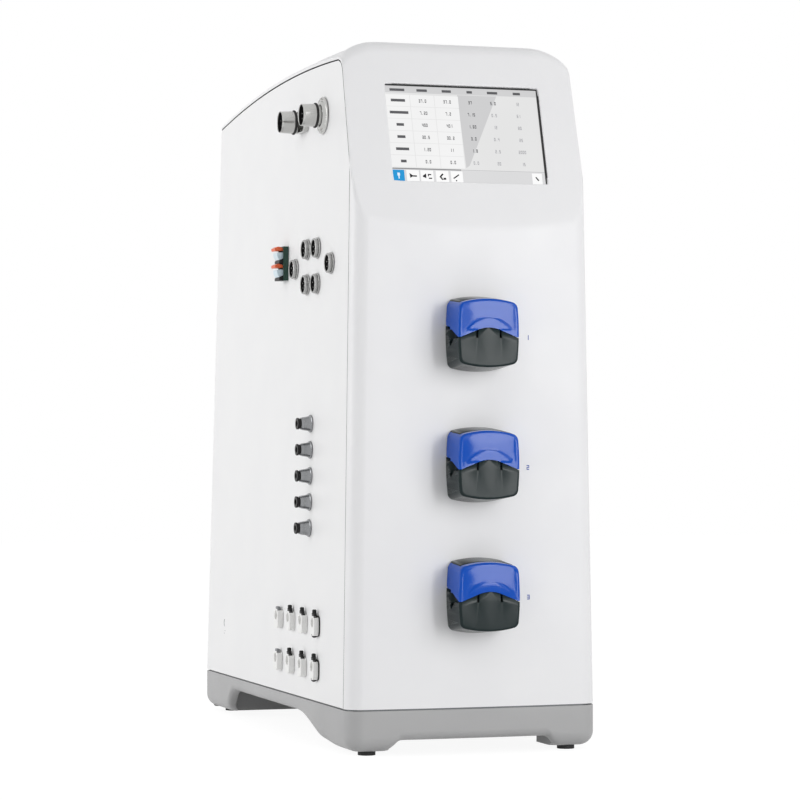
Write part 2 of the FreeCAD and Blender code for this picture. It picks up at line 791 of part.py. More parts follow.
def gas_collet(y, z):
    """Release ring: pressed in by hand, it frees the tube that it grips."""
    foot = gas_port_reach - 9 + collet_travel + 0.3
    neck = gas_port_reach + 1.8
    tip = gas_port_reach + collet_reach
    ring = turned(((foot, collet_radius), (neck, collet_radius), (neck, collet_head_radius),
                   (tip, collet_head_radius)), on_left(y, z), (-1, 0, 0))
    return ring.cut(cylinder(collet_bore, 40, on_left(y, z, -10), (-1, 0, 0)))


# ---------------------------------------------------------------- water couplings

def water_couplings():
    """Panel couplings with a valve closed behind each mouth; a latch plate crosses each barrel."""
    couplings = []
    for y, z in coupling_places:
        start = on_left(y, z)
        barrel = turned(((-12, coupling_stem_radius), (mount_gap, coupling_stem_radius),
                         (mount_gap, coupling_radius), (coupling_reach, coupling_radius)),
                        start, (-1, 0, 0))
        x = start[0]
        half = coupling_flange_width / 2
        rise = coupling_flange_height / 2
        back = x - mount_gap
        flange = box(back - coupling_flange_wall, back, y - half, y + half, z - rise, z + rise)
        corners = edges_where(flange, lambda e: e.BoundBox.XLength > 1)
        flange = flange.makeFillet(6.0, corners)
        mouth = cylinder(coupling_bore, 20, on_left(y, z, coupling_reach - coupling_recess), (-1, 0, 0))
        x0, x1 = latch_span(x)
        slot = box(x0 - latch_clearance, x1 + latch_clearance, y - latch_width / 2 - latch_clearance,
                   y + latch_width / 2 + latch_clearance, z + coupling_bore + 0.6, z + 30)
        solid = barrel.fuse(flange)
        if y == coupling_columns[-1]:
            top = ((x0 + x1) / 2, y, z - coupling_radius + 1.0)
            drain = cylinder(drain_radius, drain_length, top, (0, 0, -1))
            rim = edges_where(drain, lambda e: e.BoundBox.ZMax < z - coupling_radius - 5.0)
            solid = solid.fuse(drain.makeFillet(1.4, rim))
        couplings.append(solid.cut([mouth, slot]))
    return Part.makeCompound(couplings)


def latch_span(x):
    middle = x - mount_gap - coupling_flange_wall - 4.2
    return middle - latch_wall / 2, middle + latch_wall / 2


def coupling_latch(y, z):
    """Thumb latch: a plate that drops into the barrel's slot under a pad; a knob tops most pads."""
    x0, x1 = latch_span(on_left(y, z)[0])
    foot = z + coupling_bore + 0.9 + latch_travel
    low = z + coupling_radius + latch_travel + 0.4
    high = low + latch_pad_rise
    half = latch_pad_width / 2
    plate = box(x0, x1, y - latch_width / 2, y + latch_width / 2, foot, low + 0.5)
    pad = box(x0 - latch_pad_reach, x1 + latch_pad_reach, y - half, y + half, low, high)
    long_edges = edges_where(pad, lambda e: e.BoundBox.XLength > 5 and e.BoundBox.ZMin > high - 0.1)
    latch = plate.fuse(pad.makeFillet(1.6, long_edges))
    if y != coupling_columns[0]:
        knob = cylinder(latch_knob_radius, latch_knob_rise + 1.0, ((x0 + x1) / 2, y, high - 1.0), (0, 0, 1))
        rim = edges_where(knob, lambda e: e.BoundBox.ZMin > high)
        latch = latch.fuse(knob.makeFillet(1.4, rim))
    return latch.removeSplitter()


def port_manifolds():
    """Drilled blocks behind the panel that the gas fittings and water couplings screw into."""
    x = -side_x(gas_places[0][1]) + 8
    heights = [z for y, z in gas_places]
    gas = box(x, x + 20, gas_port_y - 13, gas_port_y + 13, min(heights) - 14, max(heights) + 14)
    gas = gas.cut([cylinder(gas_body_radius + 0.05, 60, on_left(y, z, 6), (1, 0, 0)).common(
        box(-400, on_left(y, z)[0] + 14.3, -400, 400, 0, 800)) for y, z in gas_places])
    x = -side_x(max(coupling_rows)) + 6
    water = box(x, x + 18, min(coupling_columns) - 14, max(coupling_columns) + 14,
                min(coupling_rows) - 14, max(coupling_rows) + 14)
    water = water.cut([cylinder(coupling_stem_radius + 0.05, 60, on_left(y, z, 6), (1, 0, 0)).common(
        box(-400, on_left(y, z)[0] + 12.3, -400, 400, 0, 800)) for y, z in coupling_places])
    return Part.makeCompound([gas, water])


# ---------------------------------------------------------------- pumps

def bowed_block(half, sag, rise, reach):
    """A face below an arc that is rise high in the middle and sag lower at half; reach is its spread."""
    radius = (half ** 2 + sag ** 2) / (2 * sag)
    foot = rise - radius + math.sqrt(radius ** 2 - reach ** 2)
    left = Vector(-reach, 0, foot)
    right = Vector(reach, 0, foot)
    arc = Part.Arc(left, Vector(0, 0, rise), right).toShape()
    rest = Part.makePolygon([right, Vector(reach, 0, -60), Vector(-reach, 0, -60), left])
    return Part.Face(Part.Wire([arc] + rest.Edges))


def pump_pillow(inset):
    """The pump's outer form, drawn in by inset; its top and bottom both spread towards the wall."""
    front = pump_depth - inset
    half = pump_width / 2 - inset
    rise = pump_height / 2 - inset
    upper = bowed_block(half - pump_side_bow, pump_bow, rise, half + 10)
    upper = upper.extrude(Vector(0, front, pump_flare * front / pump_depth))
    right = bowed_block(rise - pump_bow, pump_side_bow, half, rise + 15).extrude(Vector(0, front, 0))
    right.rotate(Vector(0, 0, 0), Vector(0, 1, 0), 90)
    solid = upper.common([upper.mirror(Vector(0, 0, 0), Vector(0, 0, 1))])
    solid = solid.common(right).common(right.mirror(Vector(0, 0, 0), Vector(1, 0, 0)))
    solid.translate(Vector(0, -front, 0))
    corners = edges_where(solid, lambda e: e.BoundBox.YLength > front - 1)
    solid = solid.makeFillet(pump_corner_radius - inset, corners)
    if inset > 0:
        return solid
    rim = edges_where(solid, lambda e: e.BoundBox.YMax < -front + 0.01)
    return solid.makeFillet(pump_edge_radius, rim)


def above_arch(gap):
    """Everything above the lid's arched lower edge, or above a line gap mm below it."""
    top = lid_arch_top - gap
    angle = math.atan(lid_arch_slope)
    radius = lid_arch_radius
    x = radius * math.sin(angle)
    z = top - radius * (1 - math.cos(angle))
    far = 60.0
    foot = z - lid_arch_slope * (far - x)
    depth = pump_depth + 10
    arc = Part.Arc(Vector(-x, -depth, z), Vector(0, -depth, top), Vector(x, -depth, z)).toShape()
    rest = Part.makePolygon([Vector(x, -depth, z), Vector(far, -depth, foot), Vector(far, -depth, far),
                             Vector(-far, -depth, far), Vector(-far, -depth, foot), Vector(-x, -depth, z)])
    return Part.Face(Part.Wire([arc] + rest.Edges)).extrude(Vector(0, depth + 10, 0))


def about_hinge(radius):
    return cylinder(radius, 2 * pump_width, (-pump_width, -lid_hinge_y, lid_hinge_z), (1, 0, 0))


def lid_zone(gap):
    """Where the lid's shell lies: over the arch, and round the tube clamp at the back."""
    edge = lid_cheek_edge - gap
    sweep = lid_cheek_sweep + gap
    clamp = box(-60, 60, -edge, 20, -60, lid_hinge_z).cut(about_hinge(sweep))
    return above_arch(gap).cut(clamp)


pillow = pump_pillow(0)
lid_core = pump_pillow(lid_wall)
pump_core = pump_pillow(lid_wall + lid_gap)
cheek_plane = pump_width / 2 - pump_side_bow - lid_wall
roller_tip = roller_orbit + roller_radius
rotor_back = pump_back_plate + 5.0
rotor_length = roller_length + 2 * rotor_flange + 0.4


def pump_lid():
    """Flip-up lid: front, roof strip and two cheeks, with a pin in each cheek for the hinge."""
    zone = lid_zone(0)
    ridge = Part.Arc(Vector(-ridge_half, -pump_depth, ridge_foot), Vector(0, -pump_depth, ridge_top),
                     Vector(ridge_half, -pump_depth, ridge_foot)).toShape()
    chord = Part.makeLine(Vector(ridge_half, -pump_depth, ridge_foot),
                          Vector(-ridge_half, -pump_depth, ridge_foot))
    grip = Part.Face(Part.Wire([ridge, chord])).extrude(Vector(0, -lid_ridge_height, 0))
    inside = cheek_plane - lid_gap
    lid = pillow.fuse(grip.cut(above_arch(0).cut(zone))).common(zone).cut(lid_core)
    lid = lid.cut(box(-inside, inside, -lid_roof_edge, 10, -60, 60))
    lid = lid.common(box(-60, 60, -60, -lid_back_gap, -60, 60))
    behind = box(-60, 60, -lid_hinge_y, 10, lid_hinge_z, 60).cut(about_hinge(lid_hinge_y - lid_back_gap))
    lid = lid.cut(behind)
    pins = []
    for side in (-1, 1):
        start = side * (cheek_plane + 1.0)
        pins.append(cylinder(lid_hinge_radius, 6.5, (start, -lid_hinge_y, lid_hinge_z), (-side, 0, 0)))
    return fuse([lid] + pins)


def pump_body():
    """Dark body: hood, side faces under the cheeks, front wall with two slots, and the chamber."""
    low = pillow.cut(lid_zone(lid_gap))
    inside = cheek_plane - 2 * lid_gap
    # the hood and the core stay inside the arcs that the opening lid's roof and front sweep
    roof_sweep = lid_roof_edge - lid_hinge_y
    front_sweep = pump_depth - lid_wall - lid_hinge_y
    hood = box(-inside, inside, -lid_roof_edge + lid_gap, 0, -60, 60).common(pillow)
    hood = hood.common(about_hinge(roof_sweep - lid_gap))
    core = box(-inside, inside, -60, 0, -60, 60).common(pump_core)
    core = core.cut(box(-60, 60, -60, 0, lid_hinge_z, 60).cut(about_hinge(front_sweep - lid_gap)))
    body = low.fuse(core).fuse(hood)
    chamber_front = pump_depth - pump_front_wall
    track_way = track_half_width + lid_gap
    roof = lid_hinge_z + chamber_roof_rise
    holes = [cylinder(roller_tip + rotor_clearance, chamber_front - pump_back_plate,
                      (0, -chamber_front, rotor_z), (0, 1, 0)),
             box(-track_way, track_way, -chamber_front, -pump_back_plate, rotor_z, roof),
             box(-track_way, track_way, -pump_depth - 5, -chamber_front, lid_arch_top + 1.0, roof)]
    for side in (-1, 1):
        x = side * slot_half_pitch
        holes.append(box(x - slot_width / 2, x + slot_width / 2, -pump_depth - 1, -chamber_front + 1,
                         lid_arch_top - 2.0 - slot_height, lid_arch_top + 2.0))
        holes.append(cylinder(lid_hinge_radius + lid_hinge_clearance, 8,
                              (side * (inside + 1), -lid_hinge_y, lid_hinge_z), (-side, 0, 0)))
        notch = box(-12, 12, -tube_slot_width / 2, tube_slot_width / 2,
                    -tube_notch_length / 2, tube_notch_length / 2)
        notch.rotate(Vector(0, 0, 0), Vector(1, 0, 0), tube_notch_tilt)
        notch.translate(Vector(side * (pump_width / 2 - 4), -tube_notch_y, tube_notch_z))
        holes.append(notch)
    holes.append(cylinder(shaft_radius + 0.5, 30, (0, 10, rotor_z), (0, -1, 0)))
    return body.cut(holes)


def pump_track():
    """The part that squeezes the tube on the rollers; it rises as the lid opens."""
    top = lid_hinge_z + chamber_roof_rise - track_lift - 0.5
    block = box(-track_half_width, track_half_width, -rotor_back - rotor_length, -rotor_back,
                rotor_z + 5.0, top)
    bed = cylinder(roller_tip + track_gap, 60, (0, 0, rotor_z), (0, -1, 0))
    long_edges = edges_where(block, lambda e: e.BoundBox.YLength > 10 and e.BoundBox.ZMin > top - 1)
    return block.makeFillet(3.0, long_edges).cut(bed)


def roller_centres():
    turns = [2 * math.pi * i / roller_count + math.pi / 6 for i in range(roller_count)]
    return [(roller_orbit * math.cos(a), rotor_z + roller_orbit * math.sin(a)) for a in turns]


def pump_rotor():
    """Hub on the motor's shaft, with the two flanges that hold the rollers' ends."""
    hub = cylinder(roller_orbit - roller_radius - 1.0, rotor_length, (0, -rotor_back, rotor_z), (0, -1, 0))
    front = rotor_back + rotor_length - rotor_flange
    flanges = [cylinder(roller_orbit + 2.5, rotor_flange, (0, -start, rotor_z), (0, -1, 0))
               for start in (rotor_back, front)]
    bore = cylinder(shaft_radius + shaft_clearance, rotor_length - 3.0,
                    (0, -rotor_back, rotor_z), (0, -1, 0))
    return fuse([hub] + flanges).cut(bore)


def pump_rollers():
    start = rotor_back + rotor_flange + 0.2
    rollers = []
    for x, z in roller_centres():
        rollers.append(cylinder(roller_radius, roller_length, (x, -start, z), (0, -1, 0)))
    return Part.makeCompound(rollers)


def pump_motors():
    """Three gear motors behind the cover; each shaft runs forward into its pump's rotor."""
    motors = []
    for height in pump_levels:
        back = front_y(height) + cover_wall + motor_gap
        z = height + rotor_z
        half = motor_flange / 2
        plate = box(-half, half, back, back + motor_flange_wall, z - half, z + half)
        corners = edges_where(plate, lambda e: e.BoundBox.YLength > 1 and e.BoundBox.XLength < 0.1
                              and e.BoundBox.ZLength < 0.1)
        plate = plate.makeFillet(4.0, corners)
        gear = cylinder(motor_radius + 2.0, motor_length * 0.4, (0, back, z), (0, 1, 0))
        can = cylinder(motor_radius, motor_length, (0, back, z), (0, 1, 0))
        shaft_end = front_y(height) - rotor_back - rotor_length + 4.0
        shaft = cylinder(shaft_radius, back - shaft_end + 1.0, (0, shaft_end, z), (0, 1, 0))
        motor = fuse([plate, gear, can, shaft])
        motor.translate(Vector(pump_offset, 0, 0))
        motors.append(motor)
    return Part.makeCompound(motors)


def at_pump(shape, height):
    """A pump piece moved from the origin to its place on the cover."""
    moved = shape.copy()
    moved.translate(Vector(pump_offset, front_y(height), height))
    return moved


# ---------------------------------------------------------------- rear and inside

rear_angle = math.degrees(math.atan(rear_lean))


def to_rear(shape, x, z):
    """A piece made round the origin, facing +Y, moved on to the leaning rear panel."""
    shape.rotate(Vector(0, 0, 0), Vector(1, 0, 0), rear_angle)
    shape.translate(Vector(x, rear_y(z), z))
    return shape


def fan_frame():
    """Square fan housing behind the grille, with four struts that carry the motor and its axle."""
    half = fan_size / 2
    front = -panel_wall - mount_gap
    back = front - fan_depth
    frame = box(-half, half, back, front, -half, half)
    corners = edges_where(frame, lambda e: e.BoundBox.YLength > 20)
    frame = frame.makeFillet(4.0, corners).cut(cylinder(fan_bore, 60, (0, 10, 0), (0, -1, 0)))
    waist = box(-half - 1, half + 1, back + 4, front - 4, -half - 1, half + 1)
    waist = waist.cut(cylinder(fan_bore + 1.8, 60, (0, 10, 0), (0, -1, 0)))
    struts = []
    for i in range(4):
        strut = box(0, fan_bore + 1, back, back + 3, -2, 2)
        strut.rotate(Vector(0, 0, 0), Vector(0, 1, 0), 45 + 90 * i)
        struts.append(strut)
    motor = cylinder(fan_hub_radius, 4, (0, back, 0), (0, 1, 0))
    axle = cylinder(fan_axle_radius, 16, (0, back, 0), (0, 1, 0))
    return to_rear(fuse([frame.cut(waist)] + struts + [motor, axle]), 0, fan_level)


def fan_rotor():
    """Hub with swept blades; it turns on the frame's axle."""
    back = -panel_wall - mount_gap - fan_depth + 4.4
    depth = fan_depth - 8.0
    hub = cylinder(fan_hub_radius, depth, (0, back, 0), (0, 1, 0))
    blades = []
    for i in range(fan_blade_count):
        blade = box(fan_hub_radius - 2, fan_bore - 1.5, -0.7, 0.7, -depth * 0.62, depth * 0.62)
        blade.rotate(Vector(0, 0, 0), Vector(1, 0, 0), 48)
        blade.translate(Vector(0, back + depth / 2, 0))
        blade.rotate(Vector(0, 0, 0), Vector(0, 1, 0), 360.0 * i / fan_blade_count)
        blades.append(blade)
    zone = cylinder(fan_bore - 1.5, depth, (0, back, 0), (0, 1, 0))
    rotor = fuse([hub] + blades).common(zone)
    axle = cylinder(fan_axle_radius + shaft_clearance, 13, (0, back - 1, 0), (0, 1, 0))
    return to_rear(rotor.cut(axle), 0, fan_level)


def power_inlet():
    """Mains inlet with its three blades in a deep recess, and the frame of the rocker switch."""
    flange = box(-inlet_width / 2 - 2, inlet_width / 2 + 2, mount_gap, 1.8,
                 -inlet_rise / 2 - 2, inlet_rise / 2 + 2)
    body = box(-inlet_width / 2 + 0.3, inlet_width / 2 - 0.3, -24, mount_gap, -inlet_rise / 2 + 0.3,
               inlet_rise / 2 - 0.3)
    recess = box(-12, 12, -inlet_recess, 10, -8, 8)
    lower = edges_where(recess, lambda e: e.BoundBox.YLength > 10 and e.BoundBox.ZMax < 0)
    inlet = flange.fuse(body).cut(recess.makeChamfer(4.0, lower))
    blades = [box(x - 2, x + 2, -inlet_recess - 1, -2, z - 1, z + 1)
              for x, z in ((-7, -1), (7, -1), (0, 3))]
    inlet = to_rear(fuse([inlet] + blades), inlet_x, inlet_z)
    bezel = box(-switch_width / 2 - 2, switch_width / 2 + 2, mount_gap, 2.0,
                -switch_rise / 2 - 2, switch_rise / 2 + 2)
    frame = box(-switch_width / 2 + 0.3, switch_width / 2 - 0.3, -15, mount_gap, -switch_rise / 2 + 0.3,
                switch_rise / 2 - 0.3)
    well = box(-switch_width / 2 + 1.5, switch_width / 2 - 1.5, -10, 10, -switch_rise / 2 + 1.5,
               switch_rise / 2 - 1.5)
    pin = cylinder(1.2, switch_width - 1, (-switch_width / 2 + 0.5, -3, 0), (1, 0, 0))
    switch = to_rear(fuse([bezel.fuse(frame).cut(well), pin]), switch_x, inlet_z)
    return Part.makeCompound([inlet, switch])


def power_switch():
    """Rocker on its pin, rested at one end of its travel."""
    half = switch_width / 2 - 1.8
    rise = switch_rise / 2 - 2.6
    bend = rise * math.tan(math.radians(switch_tilt))
    rocker = face_of(((-half, -5.5, -rise * 0.6), (-half, 1.8 + bend, -rise), (-half, 1.8, 0),
                      (-half, 1.8 + bend, rise), (-half, -5.5, rise * 0.6))).extrude(Vector(2 * half, 0, 0))
    rocker = rocker.cut(cylinder(1.25, 40, (-20, -3, 0), (1, 0, 0)))
    rocker.rotate(Vector(0, -3, 0), Vector(1, 0, 0), switch_tilt)
    return to_rear(rocker, switch_x, inlet_z)


def rear_gas_inlets():
    """Four barbed bulkhead inlets for the gas supply."""
    inlets = []
    for x in rear_gas_places:
        inlet = turned(((-12, rear_gas_radius), (mount_gap, rear_gas_radius),
                        (mount_gap, rear_gas_radius + 3.0), (3.5, rear_gas_radius + 3.0),
                        (3.5, rear_gas_radius - 0.6), (14.0, rear_gas_radius - 1.6)),
                       (0, 0, 0), (0, 1, 0))
        inlet = inlet.cut(cylinder(1.8, 40, (0, -15, 0), (0, 1, 0)))
        inlets.append(to_rear(inlet, x, rear_gas_z))
    return Part.makeCompound(inlets)


def screw_places():
    """Heights of the screws down each folded edge of the side panels."""
    count = 4
    low = skirt_top + 50
    high = body_height - 210
    heights = [low + (high - low) * i / (count - 1) for i in range(count)]
    return [(side * (side_x(z) - panel_return / 2), z) for side in (-1, 1) for z in heights]


def panel_screws():
    """Pan-head screws down the rear edges of both side panels."""
    screws = []
    for x, z in screw_places():
        screw = turned(((-6, screw_shank), (0.1, screw_shank), (0.1, screw_radius),
                        (2.0, screw_radius - 0.8)), (0, 0, 0), (0, 1, 0))
        screws.append(to_rear(screw, x, z))
    return Part.makeCompound(screws)


def bulkhead():
    """Sheet-steel wall across the housing, with a foot on the floor plate and stiffening flanges."""
    low = cover_bottom + 0.1
    spare = panel_wall + 0.5
    wall = face_of(((-side_x(low) + spare, bulkhead_y, low), (side_x(low) - spare, bulkhead_y, low),
                    (side_x(bulkhead_top) - spare, bulkhead_y, bulkhead_top),
                    (-side_x(bulkhead_top) + spare, bulkhead_y, bulkhead_top),
                    )).extrude(Vector(0, bulkhead_wall, 0))
    half = side_x(low) - spare - 6
    foot = box(-half, half, bulkhead_y, bulkhead_y + 20, low, low + bulkhead_wall)
    half = side_x(bulkhead_top) - spare
    lip = box(-half, half, bulkhead_y, bulkhead_y + 15, bulkhead_top - bulkhead_wall, bulkhead_top)
    return fuse([wall, foot, lip])


def control_board():
    """Circuit board on standoffs behind the bulkhead, with its larger components."""
    back = bulkhead_y + bulkhead_wall
    face = back + board_standoff
    half = board_width / 2
    rise = board_height / 2
    middle = level(board_centre)
    shapes = [box(-half, half, face, face + board_wall, middle - rise, middle + rise)]
    for x in (-half + board_hole_inset, half - board_hole_inset):
        for z in (-rise + board_hole_inset, 0, rise - board_hole_inset):
            shapes.append(cylinder(3.0, board_standoff, (x, back + 0.1, middle + z), (0, 1, 0)))
    # across and up from the board's middle, width, height and how far each component stands up
    components = ((-55, -55, 50, 90, 22), (0, 40, 40, 40, 8), (60, -90, 40, 20, 12),
                  (60, -60, 40, 20, 12), (-65, 80, 30, 40, 14), (57.5, 83.5, 55, 17, 10),
                  (2.5, -50, 25, 60, 16))
    for x, z, width, height, reach in components:
        part = box(-width / 2, width / 2, face + 1.0, face + board_wall + reach, -height / 2, height / 2)
        part.translate(Vector(x, 0, middle + z))
        shapes.append(part)
    return fuse(shapes)


def power_supply():
    """Enclosed power supply on the floor plate behind the bulkhead."""
    low = cover_bottom + 0.1
    half = supply_width / 2
    length = supply_depth / 2
    case = box(supply_x - half, supply_x + half, supply_y - length, supply_y + length,
               low, low + supply_height)
    corners = edges_where(case, lambda e: e.BoundBox.ZLength > supply_height / 2)
    case = case.makeFillet(2.0, corners)
    half += supply_foot
    length -= supply_foot
    foot = box(supply_x - half, supply_x + half, supply_y - length, supply_y + length, low, low + 2)
    return case.fuse(foot).removeSplitter()


# ---------------------------------------------------------------- saving

pieces = {
    "base_skirt": base_skirt(), "foot_pads": foot_pads(), "floor_plate": floor_plate(),
    "front_cover": front_cover(), "left_panel": side_panel(-1), "right_panel": side_panel(1),
    "rear_panel": rear_panel(), "display_gasket": display_gasket(), "touch_display": touch_display(),
    "bulkhead": bulkhead(), "power_supply": power_supply(), "control_board": control_board(),
    "port_manifolds": port_manifolds(), "fan_frame": fan_frame(), "fan_rotor": fan_rotor(),
    "power_inlet": power_inlet(), "power_switch": power_switch(), "rear_gas_inlets": rear_gas_inlets(),
    "rear_data_sockets": rear_data_sockets(), "panel_screws": panel_screws(),
    "bayonet_connectors": bayonet_connectors(), "connector_collars": connector_collars(),
    "connector_o_rings": connector_rings(), "connector_inserts": connector_inserts(),
    "sensor_connectors": sensor_connectors(), "terminal_header": terminal_header(),
    "terminal_plugs": terminal_plugs(), "gas_fittings": gas_fittings(),
    "water_couplings": water_couplings(), "pump_motors": pump_motors(),
}
for number, height in row(terminal_plug_heights()):
    pieces[f"terminal_button_{number}"] = terminal_button(height)
for number, place in row(gas_places):
    pieces[f"gas_collet_{number}"] = gas_collet(*place)
for number, place in row(coupling_places):
    pieces[f"coupling_latch_{number}"] = coupling_latch(*place)
pump_pieces = {"pump_body": pump_body(), "pump_lid": pump_lid(), "pump_track": pump_track(),
               "pump_rotor": pump_rotor(), "pump_rollers": pump_rollers()}
for number, height in row(pump_levels):
    for name, shape in pump_pieces.items():
        piece = at_pump(shape, height)
        if name == "pump_body":
            piece = piece.cut(form)
        pieces[f"{name}_{number}"] = piece

extent = Part.makeCompound(list(pieces.values())).optimalBoundingBox()
to_middle = Vector(-extent.Center.x, -extent.Center.y, 0)
for name, shape in pieces.items():
    shape.translate(to_middle)
    shape.exportStep(f"parts/{name}.step")
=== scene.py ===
# %% [markdown]
# # A bench bioreactor station
# The station is a tall white cabinet. A touch display leans back in its upper front, three flip-top
# pumps sit below it, and the probes, gas and water of a culture vessel plug into its left side.
# The CAD model already fixes every size and every joint. This file gives that model its surfaces,
# finishes and light, one step to a cell, so the cells can be run and looked at one after the other.
#
# The CAD model comes in first. It works like a jig: each new surface is worked out in the same
# millimetres, and a piece that stands for a CAD node hides it. The station's base is even on all
# sides, so the middle of its box shows how far the model was moved from the housing's own middle.

# %% Load the fixed frame and measure it
import math
import bmesh
import bpy
import numpy as np
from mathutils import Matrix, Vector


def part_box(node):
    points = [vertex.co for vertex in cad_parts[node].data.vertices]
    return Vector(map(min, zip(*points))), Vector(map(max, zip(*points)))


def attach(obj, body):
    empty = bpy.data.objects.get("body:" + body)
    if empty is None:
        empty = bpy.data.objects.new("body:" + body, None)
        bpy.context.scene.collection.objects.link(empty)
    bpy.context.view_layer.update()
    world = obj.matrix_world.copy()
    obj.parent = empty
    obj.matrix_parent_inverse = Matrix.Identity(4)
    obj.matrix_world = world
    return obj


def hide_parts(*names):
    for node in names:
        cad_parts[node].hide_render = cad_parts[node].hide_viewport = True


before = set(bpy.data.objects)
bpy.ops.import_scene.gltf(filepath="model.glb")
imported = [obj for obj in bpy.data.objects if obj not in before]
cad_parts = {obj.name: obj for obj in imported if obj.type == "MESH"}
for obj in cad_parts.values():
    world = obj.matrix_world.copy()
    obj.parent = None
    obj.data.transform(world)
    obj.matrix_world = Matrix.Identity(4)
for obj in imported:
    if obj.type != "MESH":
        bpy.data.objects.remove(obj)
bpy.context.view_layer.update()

MM = 0.001
base_low, base_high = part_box("base_skirt")
middle = np.array([base_low.x + base_high.x, base_low.y + base_high.y, 0.0]) / 2
print("housing's middle in metres", middle)

# %% [markdown]
# ## Turning arrays of points into pieces
# A moulded or pressed surface is easiest to describe as a grid: rows run one way over the surface and
# columns the other. Everything in one sheet is then two arrays, its points and its four-cornered
# faces. Modelling by hand in Edit Mode would work too, but a formula keeps each radius and each gap
# exact. Neighbouring sheets are joined by merging the points that they share, the normals are made to
# face outwards, and a Weighted Normal modifier keeps the large flat areas flat beside small radii.

# %% Grid and piece helpers
def lattice(points, wrap=False, skip=None):
    """Quads between neighbouring rows and columns of a (rows, columns, 3) grid of points.
    wrap joins the last column to the first; skip marks the quads that are left open."""
    rows, columns = points.shape[:2]
    number = np.arange(rows * columns).reshape(rows, columns)
    if wrap:
        number = np.concatenate([number, number[:, :1]], axis=1)
    quads = np.stack([number[:-1, :-1], number[:-1, 1:], number[1:, 1:], number[1:, :-1]], axis=-1)
    quads = quads.reshape(-1, 4) if skip is None else quads[~skip]
    return points.reshape(-1, 3), quads


def merge_sheets(mesh, outwards=True):
    """Joins points closer than a hundredth of a millimetre and turns the faces outwards."""
    shape = bmesh.new()
    shape.from_mesh(mesh)
    bmesh.ops.remove_doubles(shape, verts=shape.verts, dist=0.00001)
    bmesh.ops.dissolve_degenerate(shape, edges=shape.edges, dist=0.000002)
    if outwards:
        bmesh.ops.recalc_face_normals(shape, faces=shape.faces)
    shape.to_mesh(mesh)
    shape.free()


def finish_piece(made, body, material, stands_for=(), crease=40):
    """Smooth shading up to the crease angle, weighted normals, material and body; the nodes it stands for are
    hidden.
    """
    mesh = made.data
    mesh.polygons.foreach_set("use_smooth", np.ones(len(mesh.polygons), bool))
    mesh.set_sharp_from_angle(angle=math.radians(crease))
    mesh.materials.clear()
    mesh.materials.append(material)
    weighted = made.modifiers.new("weighted normals", "WEIGHTED_NORMAL")
    weighted.keep_sharp = True
    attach(made, body)
    if stands_for:
        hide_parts(*stands_for)
    return made


def piece(name, sheets, body, material, stands_for=(), crease=40, outwards=True):
    """One object from a list of (points, quads) sheets, given in millimetres from the housing's middle."""
    starts = np.cumsum([0] + [len(points) for points, _ in sheets])
    points = np.concatenate([points for points, _ in sheets]) * MM + middle
    quads = np.concatenate([quads + start for (_, quads), start in zip(sheets, starts)])
    mesh = bpy.data.meshes.new(name)
    mesh.vertices.add(len(points))
    mesh.vertices.foreach_set("co", points.astype(np.float32).ravel())
    mesh.loops.add(quads.size)
    mesh.loops.foreach_set("vertex_index", quads.astype(np.int32).ravel())
    mesh.polygons.add(len(quads))
    mesh.polygons.foreach_set("loop_start", np.arange(0, quads.size, 4, dtype=np.int32))
    mesh.update(calc_edges=True)
    merge_sheets(mesh, outwards)
    made = bpy.data.objects.new(name, mesh)
    bpy.context.scene.collection.objects.link(made)
    finish_piece(made, body, material, stands_for, crease)
    print(f"{name}: {len(mesh.polygons)} faces")
    return made


# %% [markdown]
# ## Finishes
# Nearly everything here is moulded plastic, painted sheet or plated metal. What tells them apart is
# how wide a highlight spreads and the fine relief that breaks it up, so each finish sets a colour, a
# roughness and a bump with a grain of a real size in millimetres. Flat paint from one colour picker
# looks like a drawing; a slight drift of tone over some centimetres already reads as a real surface.
# One helper adds a node, sets its values and links its inputs, so a finish stays a short list.

# %% Colour and node helpers
def linear(code):
    """An sRGB hex colour as the linear colour that shaders use."""
    value = np.array([int(code[i:i + 2], 16) for i in (0, 2, 4)]) / 255
    value = np.where(value <= 0.04045, value / 12.92, ((value + 0.055) / 1.055) ** 2.4)
    return (*value.tolist(), 1.0)


def add_node(tree, kind, settings=None, **sockets):
    """One node. settings are its own properties; a socket takes a value, or another node's output."""
    made = tree.nodes.new(kind)
    for name, value in (settings or {}).items():
        setattr(made, name, value)
    for name, value in sockets.items():
        socket = made.inputs[int(name[1:])] if name[0] == "_" else made.inputs[name.replace("_", " ")]
        if isinstance(value, bpy.types.NodeSocket):
            tree.links.new(value, socket)
        else:
            socket.default_value = value
    return made


def per_metre(size):
    """The scale that makes a texture's cells size millimetres wide on Object coordinates."""
    return 1.0 / (size * MM)


